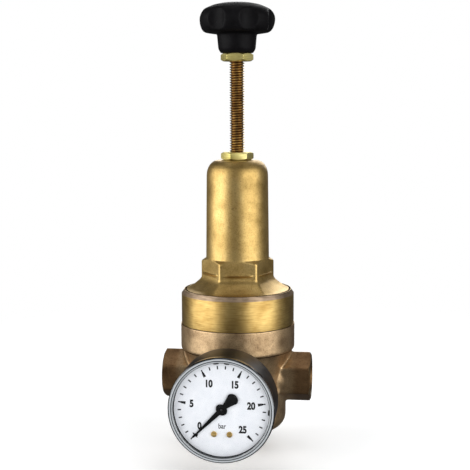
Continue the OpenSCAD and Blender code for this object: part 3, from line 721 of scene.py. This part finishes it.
def dome(low_r, high_r, low, top, reach):
    arc = []
    for degrees in range(15, 90, 15):
        a = math.radians(degrees)
        arc.append((high_r - reach * (1 - math.cos(a)), low + (top - low) * math.sin(a)))
    return [(low_r, flare_top), (high_r, low), *arc, (high_r - reach - 0.2 * MM, top)]


hexagon_blank = hexagon("wrench_hexagon", hexagon_across, ring_top, hexagon_top, hexagon_turn)
corner_tool = turned("corner_tool", [(hexagon_corner, 90 * MM), (40 * MM, 90 * MM), (40 * MM, 130 * MM),
                                     (19 * MM, 130 * MM), (19 * MM, hexagon_top + 0.6 * MM),
                                     (hexagon_corner, hexagon_top - 1.6 * MM)], sides=128, ring=True)
hexagon_blank = machined(hexagon_blank, [corner_tool])
bell = turned("bell", [(0, flare_top - 6 * MM), (20.2 * MM, flare_top - 6 * MM)]
              + dome(20.2 * MM, 19.5 * MM, shoulder_z, bonnet_top, 7.5 * MM) + [(0, bonnet_top)], sides=128)
flange = turned("flange", [(0, 68.5 * MM), (31.6 * MM, 68.5 * MM), (31.6 * MM, seam_z - 1 * MM),
                           (37 * MM, seam_z - 1 * MM), (37 * MM, ring_top + 0.6 * MM),
                           (35 * MM, ring_top + 2.2 * MM), (0, ring_top + 2.4 * MM)], sides=160)
bonnet_forging = cast("bonnet_forging", [hexagon_blank, bell, flange, flare("flare")], 0.5 * MM, 4)
# The fourth finish is painted shade for the lip groove and the foot gap.
made_of(bonnet_forging, forged_brass, turned_brass, worn_edge, groove_painted_shade)
print("rough forging:", len(bonnet_forging.data.polygons), "faces")

# %% Turn the flange and bore the bonnet
clear_r = 45 * MM                              # past everything on the forging
skirt_r = 30.95 * MM                           # fits the body's 31 mm socket
tools = [
    turned("rim_cut", [(ring_r, 79 * MM), (clear_r, 79 * MM), (clear_r, ring_top + 3 * MM),
                       (ring_r + 0.02 * MM, ring_top + 3 * MM), (ring_r, ring_top)],
           sides=192, ring=True),
    turned("skirt_cut", [(skirt_r, 66 * MM), (clear_r, 66 * MM), (clear_r, seam_z + 0.05 * MM),
                         (skirt_r, seam_z + 0.05 * MM)], sides=192, ring=True),
    rod("under_cut", 31.5 * MM, 60 * MM, 69.5 * MM, sides=128),
    turned("spring_bore", [(0, 60 * MM), (26 * MM, 60 * MM), (26 * MM, seam_z + 6 * MM),
                           (16.4 * MM, seam_z + 16 * MM), (16.4 * MM, bonnet_top - 22 * MM),
                           (11.4 * MM, bonnet_top - 18 * MM), (0, bonnet_top - 18 * MM)]),
    rod("screw_bore", screw_r + 0.05 * MM, bonnet_top - 20 * MM, bonnet_top + 2 * MM),
    rod("top_face", 30 * MM, bonnet_top, bonnet_top + 5 * MM, sides=128)]
for tool in tools:
    made_of(tool, turned_brass)
# The foot gap and the lip groove are cut with painted shade.
foot_gap = turned("foot_gap", [(ring_r - 0.5 * MM, seam_z - 0.2 * MM), (ring_r + 2 * MM, seam_z - 0.2 * MM),
                               (ring_r + 2 * MM, seam_z + 0.5 * MM), (ring_r - 0.4 * MM, seam_z + 0.35 * MM)],
                  sides=192, ring=True)
groove = turned("lip_groove", [(33.0 * MM, ring_top + 0.9 * MM), (33.8 * MM, ring_top + 0.6 * MM),
                               (34.1 * MM, ring_top + 4 * MM), (32.6 * MM, ring_top + 4 * MM)],
                sides=192, ring=True)
chamfer = turned("lip_chamfer", [(ring_r + 0.2 * MM, ring_top - 0.8 * MM),
                                 (clear_r, ring_top - 0.8 * MM), (clear_r, ring_top + 6 * MM),
                                 (34.2 * MM, ring_top + 6 * MM), (34.2 * MM, ring_top + 1.9 * MM)],
                 sides=192, ring=True)
made_of(chamfer, worn_edge)
made_of(groove, groove_painted_shade)
made_of(foot_gap, groove_painted_shade)
bonnet_forging = machined(bonnet_forging, tools + [chamfer, groove, foot_gap])
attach(bonnet_forging, VALVE)
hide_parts("spring_bonnet")
print("bonnet:", len(bonnet_forging.data.polygons), "faces")

# %% [markdown]
# ## Spindle, nuts, plug and screws
# The spindle is a 3/8 inch Whitworth stud. Smaller turned pieces are already right in the frame,
# apart from their knife-sharp edges, which no real part has. `refined` copies such a piece, merges
# its loose triangles, joins the flat ones and bevels what is left, so that each edge glints.

# %% Spindle
spindle = threaded("adjusting_screw", root_r, screw_r, pitch,
                   spindle_low.z + 2.5 * MM, spindle_high.z - 0.6 * MM, sides=48, fade=0.8,
                   ends=[(3.2 * MM, spindle_low.z + 1.6 * MM), (1.2 * MM, spindle_low.z + 0.05 * MM),
                         (3.2 * MM, spindle_high.z)])
made_of(spindle, thread_brass)
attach(spindle, "spindle")
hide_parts("adjusting_spindle")
print("spindle thread pitch:", round(pitch / MM, 4), "mm")


# %% Refine small turned pieces
def refined(name, node, body, material, width, slivers=True):
    """Bevels a copy of a frame piece. The shank keeps its slivers: collapsing them folds its faces."""
    obj = frame["nodes"][node].copy()
    obj.data = frame["nodes"][node].data.copy()
    obj.parent = None
    for key in list(obj.keys()):
        del obj[key]
    obj.name = name + "_sharp"
    bpy.context.scene.collection.objects.link(obj)
    bm = bmesh.new()
    bm.from_mesh(obj.data)
    bmesh.ops.remove_doubles(bm, verts=bm.verts, dist=2e-6)
    bmesh.ops.dissolve_limit(bm, angle_limit=math.radians(0.6), verts=bm.verts, edges=bm.edges)
    bm.to_mesh(obj.data)
    bm.free()
    bevel = obj.modifiers.new("edge", "BEVEL")
    bevel.width = width
    bevel.segments = 2
    bevel.limit_method = "ANGLE"
    bevel.angle_limit = math.radians(30)
    done = evaluated_copy(obj, name)
    bpy.data.objects.remove(obj)
    made_of(without_slivers(done) if slivers else done, material)
    smooth(done, 32)
    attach(done, body)
    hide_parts(node)
    return done


refined("jam_nut_lower", "spindle_locknut", "locknut", bar_brass, 0.16 * MM)
refined("jam_nut_upper", "knob_nut", "spindle", bar_brass, 0.16 * MM)
refined("service_plug", "bottom_plug", VALVE, turned_brass, 0.25 * MM)
refined("blanking_plug", "gauge_port_plug", VALVE, gauge_brass, 0.2 * MM)
refined("gauge_shank", "gauge_socket", VALVE, gauge_brass, 0.2 * MM, slivers=False)
refined("dial_fixing_screws", "dial_screws", VALVE, screw_brass, 0.08 * MM)
needle = refined("gauge_pointer", "pointer", "pointer_shaft", pointer_lacquer, 0.06 * MM)
upright = Matrix.Translation((0, 0, gauge_z)) @ Matrix.Rotation(math.radians(-135), 4, "Y")
needle.data.transform(upright @ Matrix.Diagonal((1.22, 1, 1, 1)) @ upright.inverted())
print("refined seven small pieces")

# %% [markdown]
# ## Star grip
# The grip is moulded in phenolic round a brass insert. Its lobes, hub and underside run into one
# another with radii of one to two millimetres. A fine voxel remesh of the frame's grip, relaxed,
# rounds every edge at once and keeps the finger flutes. The top is crowned, as a moulding's is.

# %% Star grip
grip = frame["nodes"]["star_knob"]
grip_copy = new_object("grip_copy", [v.co for v in grip.data.vertices],
                       [tuple(p.vertices) for p in grip.data.polygons])
star_grip = cast("star_grip", [outward(grip_copy)], 0.5 * MM, 14)
grip_r, grip_mid = grip_high.x, grip_high.z - 12 * MM
for v in star_grip.data.vertices:
    height = min(max((v.co.z - grip_mid) / (grip_high.z - grip_mid), 0), 1)
    v.co.z -= 3.2 * MM * height * min(math.hypot(v.co.x, v.co.y) / grip_r, 1) ** 3
made_of(star_grip, grip_plastic)
smooth(star_grip, 60)
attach(star_grip, "spindle")
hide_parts("star_knob")
print("grip:", len(star_grip.data.polygons), "faces")

# %% [markdown]
# ## Pressure gauge
# The case is a deep moulded cup with rounded rear edge. Two shallow rings on its back are where
# the mould was let in. The window snaps into its mouth: a flat pane, a stepped rim, and small
# lugs, three of which show as dark marks. Outlines run along the gauge's own axis, from its front.

# %% Gauge case
depth = case_high.y - gauge_front
socket_hole = 7.02 * MM
outside = rounded([(socket_hole, depth), (15 * MM, depth), (15.4 * MM, depth - 0.5 * MM),
                   (24 * MM, depth - 0.5 * MM), (24.4 * MM, depth), (gauge_r - 0.6 * MM, depth),
                   (gauge_r - 0.3 * MM, 3.7 * MM), (gauge_r - 1.9 * MM, 3.6 * MM)], 3 * MM, 6)
inside = [(gauge_r - 1.9 * MM, depth - 1.6 * MM), (socket_hole, depth - 1.6 * MM)]
case = turned("gauge_case_shell", outside + inside, along_gauge(), 160, ring=True)
made_of(case, case_plastic)
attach(case, VALVE)
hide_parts("gauge_case")

# %% Snap-in window and its lugs
pane = [(0, 0.55 * MM), (gauge_r - 3.3 * MM, 0.55 * MM), (gauge_r - 2.7 * MM, 0.02 * MM),
        (gauge_r - 0.7 * MM, 0.02 * MM), (gauge_r - 0.02 * MM, 0.8 * MM),
        (gauge_r - 0.02 * MM, 3.5 * MM), (gauge_r - 1.95 * MM, 3.5 * MM),
        (gauge_r - 1.95 * MM, 5 * MM), (gauge_r - 2.6 * MM, 5 * MM),
        (gauge_r - 2.8 * MM, 2.1 * MM), (0, 2.1 * MM)]
window = turned("snap_in_window", rounded(pane, 0.25 * MM), along_gauge(), 160)
made_of(window, window_plastic)
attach(window, VALVE)
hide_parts("gauge_window")

lugs = []
for degrees in (-6.4, 6.4, 92):
    turn = Matrix.Rotation(math.radians(degrees), 4, "Y") @ Matrix.Translation((0, 0, 27.6 * MM))
    place = Matrix.Translation((0, gauge_front + 2.75 * MM, gauge_z)) @ turn
    lug = turned("lug", rounded([(0, -0.45 * MM), (1.1 * MM, -0.45 * MM), (1.1 * MM, 0.45 * MM),
                                 (0, 0.45 * MM)], 0.3 * MM),
                 place @ Matrix.Diagonal((1.5, 0.75, 0.9, 1)), 24)
    lugs.append(lug)
window_lugs = smooth(made_of(joined("window_lugs", lugs), case_plastic), 50)
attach(window_lugs, VALVE)
print("gauge:", round(2 * gauge_r / MM, 1), "mm across,", len(window.data.polygons), "faces in the window")

# %% [markdown]
# ## Printed scale
# The scale is 26 marks over 270 degrees, every fifth one long and thick. Counting and turning are
# what Geometry Nodes are good at, so one tree puts a small block on each of `Count` points, all at
# the centre, and turns it by its index. A second tree input picks the marks of each kind. The
# numerals are text, made mesh first and then set on the dial. They're pressure in bar.


# %% Grow a mesh from a node tree
def socket(tree, name, kind, output=False):
    return tree.interface.new_socket(name, in_out="OUTPUT" if output else "INPUT",
                                     socket_type="NodeSocket" + kind)


def grown(name, tree, values):
    """Runs a Geometry Nodes tree with its named inputs set, and returns a plain mesh object."""
    source = new_object(name + "_source", [], [])
    modifier = source.modifiers.new("grow", "NODES")
    modifier.node_group = tree
    for item in tree.interface.items_tree:
        if item.item_type == "SOCKET" and item.in_out == "INPUT" and item.name in values:
            modifier[item.identifier] = values[item.name]
    done = evaluated_copy(source, name)
    source.modifiers.clear()
    bpy.data.objects.remove(source)
    return done


def scale_tree():
    tree = bpy.data.node_groups.new("scale_marks", "GeometryNodeTree")
    for name, kind in (("Count", "Int"), ("Every", "Int"), ("Sweep", "Float"), ("Length", "Float"),
                       ("Outer Radius", "Float"), ("Outer Width", "Float"), ("Inner Width", "Float"),
                       ("Thickness", "Float"), ("Ink", "Material")):
        socket(tree, name, kind)
    socket(tree, "Marks", "Geometry", True)
    given = add(tree, "NodeGroupInput").outputs
    points = add(tree, "GeometryNodePoints", {"Count": given["Count"]})
    number = add(tree, "GeometryNodeInputIndex").outputs[0]
    rest = add(tree, "ShaderNodeMath", {0: number, 1: given["Every"]}, operation="MODULO").outputs[0]
    chosen = add(tree, "ShaderNodeMath", {0: rest, 1: 0.5}, operation="LESS_THAN").outputs[0]
    last = add(tree, "ShaderNodeMath", {0: given["Count"], 1: 1.0}, operation="SUBTRACT").outputs[0]
    share = add(tree, "ShaderNodeMath", {0: number, 1: last}, operation="DIVIDE").outputs[0]
    middle = add(tree, "ShaderNodeMath", {0: share, 1: 0.5}, operation="SUBTRACT").outputs[0]
    angle = add(tree, "ShaderNodeMath", {0: middle, 1: given["Sweep"]}, operation="MULTIPLY").outputs[0]
    turn = add(tree, "ShaderNodeCombineXYZ", {"Y": angle}).outputs[0]
    size = add(tree, "ShaderNodeCombineXYZ", {"X": 1.0, "Y": given["Thickness"], "Z": given["Length"]})
    block = add(tree, "GeometryNodeMeshCube", {"Size": size.outputs[0], "Vertices Z": 2})
    here = add(tree, "GeometryNodeInputPosition").outputs[0]
    parts = add(tree, "ShaderNodeSeparateXYZ", {0: here}).outputs
    top = add(tree, "ShaderNodeMath", {0: parts["Z"], 1: 0.0}, operation="GREATER_THAN").outputs[0]
    wide = add(tree, "ShaderNodeMapRange", {"Value": top, "To Min": given["Inner Width"],
                                            "To Max": given["Outer Width"]}).outputs[0]
    across = add(tree, "ShaderNodeMath", {0: parts["X"], 1: wide}, operation="MULTIPLY").outputs[0]
    half = add(tree, "ShaderNodeMath", {0: given["Length"], 1: 0.5}, operation="MULTIPLY").outputs[0]
    centre = add(tree, "ShaderNodeMath", {0: given["Outer Radius"], 1: half}, operation="SUBTRACT")
    up = add(tree, "ShaderNodeMath", {0: parts["Z"], 1: centre.outputs[0]}, operation="ADD").outputs[0]
    moved = add(tree, "ShaderNodeCombineXYZ", {"X": across, "Y": parts["Y"], "Z": up}).outputs[0]
    mark = add(tree, "GeometryNodeSetPosition", {"Geometry": block.outputs["Mesh"], "Position": moved})
    copies = add(tree, "GeometryNodeInstanceOnPoints",
                 {"Points": points.outputs[0], "Selection": chosen, "Instance": mark.outputs[0],
                  "Rotation": turn})
    real = add(tree, "GeometryNodeRealizeInstances", {"Geometry": copies.outputs[0]})
    inked = add(tree, "GeometryNodeSetMaterial", {"Geometry": real.outputs[0], "Material": given["Ink"]})
    add(tree, "NodeGroupOutput", {"Marks": inked.outputs[0]})
    return tree


marks_tree = scale_tree()
sweep = math.radians(270)
fine_marks = {"Count": 26, "Every": 1, "Sweep": sweep, "Length": 2.0 * MM, "Outer Radius": 26 * MM,
              "Outer Width": 0.72 * MM, "Inner Width": 0.72 * MM, "Thickness": 0.05 * MM,
              "Ink": dial_ink}
bold_marks = dict(fine_marks, Every=5, Length=2.9 * MM)
bold_marks.update({"Outer Radius": 24.4 * MM, "Outer Width": 1.1 * MM, "Inner Width": 1.7 * MM})
printed = [grown("fine_marks", marks_tree, fine_marks), grown("bold_marks", marks_tree, bold_marks)]
print("marks:", sum(len(p.data.polygons) // 6 for p in printed))


# %% Numerals
def lettered(text, x, z, height, narrow, weight=0.048):
    curve = bpy.data.curves.new("letters", "FONT")
    curve.body = text
    curve.align_x = "CENTER"
    curve.align_y = "CENTER"
    curve.extrude = 0.03
    curve.offset = weight
    source = bpy.data.objects.new("letters", curve)
    bpy.context.scene.collection.objects.link(source)
    obj = evaluated_copy(source, "numeral_" + text)
    bpy.data.objects.remove(source)
    corners = [v.co for v in obj.data.vertices]
    low, high = min(c.y for c in corners), max(c.y for c in corners)
    middle = (min(c.x for c in corners) + max(c.x for c in corners)) / 2
    for v in obj.data.vertices:
        across, up, out = v.co
        v.co = ((across - middle) * narrow * height / (high - low) + x, -out * 0.8 * MM,
                (up - (low + high) / 2) * height / (high - low) + z)
    return outward(made_of(obj, dial_ink))


numerals = [("0", -13.1, -10.1), ("5", -17.7, 3.1), ("10", -7.2, 15.3), ("15", 8.0, 15.0),
            ("20", 17.3, 2.7), ("25", 12.3, -11.6)]
printed += [lettered(text, x * MM, z * MM, 4.6 * MM, 0.8) for text, x, z in numerals]
printed.append(lettered("bar", 0.3 * MM, -9.9 * MM, 3.1 * MM, 0.78, 0.012))
zero = math.radians(-135)
half_ink = 0.025 * MM
zero_bar = rod("zero_bar", 2.1 * MM, -half_ink, half_ink,
               Matrix.Rotation(zero, 4, "Y") @ Matrix.Translation((0, 0, 22.3 * MM))
               @ Matrix.Rotation(math.pi / 2, 4, "X") @ Matrix.Diagonal((1, 0.22, 1, 1)), 16)
printed.append(made_of(zero_bar, dial_ink))
dial_print = made_of(outward(joined("dial_print", printed)), dial_ink)
dial_print.data.transform(Matrix.Translation((0, dial_low.y - half_ink, gauge_z)))
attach(dial_print, VALVE)
print("dial print:", len(dial_print.data.polygons), "faces")

# %% [markdown]
# ## Springs
# A coil spring follows a rule too: a helix whose first and last turns lie closed at one wire's
# thickness. The tree bends a spiral to that rule and sweeps a round wire along it. A real spring
# shortens under the joint that presses on it; here each spring keeps the height of the frame's box.


# %% Spring tree
def spring_tree():
    tree = bpy.data.node_groups.new("coil_spring", "GeometryNodeTree")
    for name, kind in (("Turns", "Float"), ("Mean Radius", "Float"), ("Wire", "Float"),
                       ("Foot", "Float"), ("Height", "Float"), ("Finish", "Material")):
        socket(tree, name, kind)
    socket(tree, "Spring", "Geometry", True)
    given = add(tree, "NodeGroupInput").outputs

    spiral = add(tree, "GeometryNodeCurveSpiral", {"Resolution": 28, "Rotations": given["Turns"],
                                                   "Start Radius": given["Mean Radius"],
                                                   "End Radius": given["Mean Radius"], "Height": 0.0})
    along = add(tree, "GeometryNodeSplineParameter").outputs["Factor"]
    turn = add(tree, "ShaderNodeMath", {0: along, 1: given["Turns"]}, operation="MULTIPLY").outputs[0]
    before_last = add(tree, "ShaderNodeMath", {0: given["Turns"], 1: 1.0}, operation="SUBTRACT").outputs[0]
    foot = add(tree, "ShaderNodeMapRange", {"Value": turn, "From Min": 0.0, "From Max": 1.0,
                                            "To Min": 0.0, "To Max": given["Wire"]}).outputs[0]
    solid = add(tree, "ShaderNodeMath", {0: given["Wire"], 1: 3.0}, operation="MULTIPLY").outputs[0]
    free = add(tree, "ShaderNodeMath", {0: given["Height"], 1: solid}, operation="SUBTRACT").outputs[0]
    middle = add(tree, "ShaderNodeMapRange", {"Value": turn, "From Min": 1.0, "From Max": before_last,
                                              "To Min": 0.0, "To Max": free}).outputs[0]
    head = add(tree, "ShaderNodeMapRange", {"Value": turn, "From Min": before_last,
                                            "From Max": given["Turns"], "To Min": 0.0,
                                            "To Max": given["Wire"]}).outputs[0]
    half = add(tree, "ShaderNodeMath", {0: given["Wire"], 1: 0.5}, operation="MULTIPLY").outputs[0]
    height = add(tree, "ShaderNodeMath", {0: given["Foot"], 1: half}, operation="ADD").outputs[0]
    for rise in (foot, middle, head):
        height = add(tree, "ShaderNodeMath", {0: height, 1: rise}, operation="ADD").outputs[0]
    here = add(tree, "GeometryNodeInputPosition").outputs[0]
    parts = add(tree, "ShaderNodeSeparateXYZ", {0: here}).outputs
    bent = add(tree, "ShaderNodeCombineXYZ", {"X": parts["X"], "Y": parts["Y"], "Z": height}).outputs[0]
    coil = add(tree, "GeometryNodeSetPosition", {"Geometry": spiral.outputs[0], "Position": bent})
    round_wire = add(tree, "GeometryNodeCurvePrimitiveCircle", {"Resolution": 12, "Radius": half})
    tube = add(tree, "GeometryNodeCurveToMesh", {"Curve": coil.outputs[0], "Fill Caps": True,
                                                 "Profile Curve": round_wire.outputs["Curve"]})
    real = add(tree, "GeometryNodeRealizeInstances", {"Geometry": tube.outputs[0]})
    done = add(tree, "GeometryNodeSetMaterial", {"Geometry": real.outputs[0], "Material": given["Finish"]})
    add(tree, "NodeGroupOutput", {"Spring": done.outputs[0]})
    return tree


# %% Both springs
coil = spring_tree()
for name, node, turns, mean_r, wire, finish, slot, joint, travel in (
        ("set_spring_coil", "set_spring", 10.0, 11.6, 4.0, spring_wire, "spring_steel",
         "spindle_travel", 28.576),
        ("closing_spring_coil", "closing_spring", 8.0, 6.4, 1.2, stainless, "stainless_steel",
         "stem_lift", 2.0)):
    low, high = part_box(node)
    spring = grown(name, coil, {"Turns": turns, "Mean Radius": mean_r * MM, "Wire": wire * MM,
                                "Foot": low.z, "Height": high.z - low.z, "Finish": finish})
    smooth(outward(spring), 50)
    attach(spring, VALVE)
    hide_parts(node)
    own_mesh(spring)

# %% [markdown]
# ## Rubber diaphragm
# The diaphragm is a flat disc of nitrile on fabric. The body clamps its rim and two plates on the
# stem clamp its middle, so only the ring between them can bend when the stem moves. So the disc is
# laid out flat as twelve equal sectors, with eight rings of points across that free ring.
# Neighbours meet along their common edges.

# %% Diaphragm in sectors
rubber_low, rubber_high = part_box("diaphragm")
clamped_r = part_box("diaphragm_washer")[1].x + 0.2 * MM
free_r = 23 * MM
radii = [2.6 * MM, clamped_r] + [clamped_r + (free_r - clamped_r) * k / 8 for k in range(1, 9)]
radii += [24 * MM, rubber_high.x]
sectors, slices = 12, 4
for n in range(sectors):
    verts, faces = [], []
    rows, columns = len(radii), slices + 1
    for z in (rubber_low.z, rubber_high.z):
        for r in radii:
            for k in range(columns):
                a = 2 * math.pi * (n + k / slices) / sectors
                verts.append((r * math.cos(a), r * math.sin(a), z))

    def at(layer, i, k):
        return (layer * rows + i) * columns + k

    for i in range(rows - 1):
        for k in range(slices):
            for layer in (0, 1):
                faces.append((at(layer, i, k), at(layer, i, k + 1),
                              at(layer, i + 1, k + 1), at(layer, i + 1, k)))
        for k in (0, slices):
            faces.append((at(0, i, k), at(0, i + 1, k), at(1, i + 1, k), at(1, i, k)))
    for k in range(slices):
        for i in (0, rows - 1):
            faces.append((at(0, i, k), at(0, i, k + 1), at(1, i, k + 1), at(1, i, k)))
    piece = smooth(outward(new_object(f"diaphragm_sector_{n + 1}", verts, faces)))
    made_of(piece, nitrile)
    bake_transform(piece)
    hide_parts("diaphragm")
print(f"{sectors} sectors of {len(faces)} faces, free from {clamped_r / MM:.1f} to {free_r / MM:.1f} mm")

# %% [markdown]
# ## Dress the frame's own pieces
# Everything else keeps the frame's shape and gets the finish that its slot names.

# %% Finishes by slot
finishes = {"cast_bronze": cast_gunmetal, "forged_brass": forged_brass, "turned_brass": turned_brass,
            "nut_brass": bar_brass, "spindle_brass": thread_brass, "zinc_steel": zinc_steel,
            "stainless_steel": stainless, "spring_steel": spring_wire, "copper": soft_copper,
            "rubber": nitrile, "black_plastic": grip_plastic, "gloss_black": case_plastic,
            "clear_plastic": window_plastic, "dial_white": dial_lacquer, "pointer_black": pointer_lacquer}
for part in frame["record"]["subparts"]:
    made_of(frame["nodes"][part["node"]], finishes[part["material_slot"]])

# %% [markdown]
# ## Floor, light and camera
# A valve is best shown between two tall soft boxes, one each side of the viewer. Round metal then
# has a bright band left and right with a dark band between, and that is what tells the eye it is
# metal. A third light from above opens the top. The pale floor and the white surround are seen
# by the camera, and reflections see a dim room instead, so the metal keeps its dark edges.

# %% Floor
floor = turned("floor", [(0, 0), (2.5, 0)], sides=96)
floor.data.flip_normals()                      # up, so that only its top side is seen
pale, pale_tree, pale_shader, pale_place = started("pale_studio_floor")
shade = mottled(pale_tree, pale_place, 0.6, 2, [(0.3, "#f6f6f5"), (0.7, "#fafaf9")])[1]
reach = distance(pale_tree, pale_place, (1, 1, 1))
fade = add(pale_tree, "ShaderNodeMapRange", {"Value": reach, "From Min": 0.16, "From Max": 0.5,
                                             "To Min": 1.0, "To Max": 0.0},
           interpolation_type="SMOOTHSTEP").outputs[0]
behind = add(pale_tree, "ShaderNodeNewGeometry").outputs["Backfacing"]
solid = add(pale_tree, "ShaderNodeMath", {0: fade, 1: behind}, operation="SUBTRACT", use_clamp=True)
set_inputs(pale_tree, pale_shader, {"Base Color": shade, "Alpha": solid.outputs[0], "Roughness": 0.8,
                              "Emission Color": linear("#ffffff"), "Emission Strength": 0.22})
made_of(floor, pale)
floor.visible_glossy = False


# %% Soft boxes and surround
def soft_box(name, place, target, wide, tall, power):
    lamp = bpy.data.lights.new(name, "AREA")
    lamp.shape = "RECTANGLE"
    lamp.size, lamp.size_y = wide, tall
    lamp.energy = power
    obj = bpy.data.objects.new(name, lamp)
    obj.location = place
    obj.rotation_euler = (Vector(target) - Vector(place)).to_track_quat("-Z", "Y").to_euler()
    bpy.context.scene.collection.objects.link(obj)


soft_box("box_left", (-0.858, -0.407, 0.30), (0, 0, 0.13), 1.15, 1.0, 12.3)
soft_box("box_right", (0.80, -0.512, 0.30), (0, 0, 0.13), 1.10, 1.0, 11.4)
soft_box("box_top", (0.0, 0.15, 1.15), (0, 0, 0.1), 0.7, 0.7, 1.8)
soft_box("box_back", (0.1, 1.0, 0.6), (0, 0, 0.13), 0.8, 0.6, 5)

world = bpy.data.worlds.new("surround")
world.use_nodes = True
bpy.context.scene.world = world
sky = world.node_tree
sky.nodes.clear()
seen = add(sky, "ShaderNodeBackground", {"Color": (1, 1, 1, 1), "Strength": 1.0})
room = add(sky, "ShaderNodeBackground", {"Color": linear("#d8dce2"), "Strength": 0.35})
dim = add(sky, "ShaderNodeBackground", {"Color": linear("#f2f4f8"), "Strength": 0.10})
paths = add(sky, "ShaderNodeLightPath").outputs
lit = add(sky, "ShaderNodeMixShader", {0: paths["Is Glossy Ray"], 1: room.outputs[0], 2: dim.outputs[0]})
view = add(sky, "ShaderNodeMixShader", {0: paths["Is Camera Ray"], 1: lit.outputs[0], 2: seen.outputs[0]})
add(sky, "ShaderNodeOutputWorld", {"Surface": view.outputs[0]})
bpy.context.scene.view_settings.view_transform = "Standard"

# %% Camera
azimuth, elevation, roll = math.radians(7.41), math.radians(7.07), math.radians(-0.19)
back = Vector((math.sin(azimuth) * math.cos(elevation), -math.cos(azimuth) * math.cos(elevation),
               math.sin(elevation)))
right = Vector((math.cos(azimuth), math.sin(azimuth), 0))
up = back.cross(right)
right, up = (math.cos(roll) * right + math.sin(roll) * up, math.cos(roll) * up - math.sin(roll) * right)
target = Vector((0, 0, pipe_z + 91.0 * MM)) - 1.63 * MM * right
lens = bpy.data.cameras.new("camera")
lens.lens = 83.9
lens.sensor_width = 36
lens.clip_start = 0.01
camera = bpy.data.objects.new("camera", lens)
turn = Matrix((right, up, back)).transposed().to_4x4()
camera.matrix_world = Matrix.Translation(target + 0.7 * back) @ turn
bpy.context.scene.collection.objects.link(camera)
bpy.context.scene.camera = camera
print("camera at", [round(c, 3) for c in camera.location])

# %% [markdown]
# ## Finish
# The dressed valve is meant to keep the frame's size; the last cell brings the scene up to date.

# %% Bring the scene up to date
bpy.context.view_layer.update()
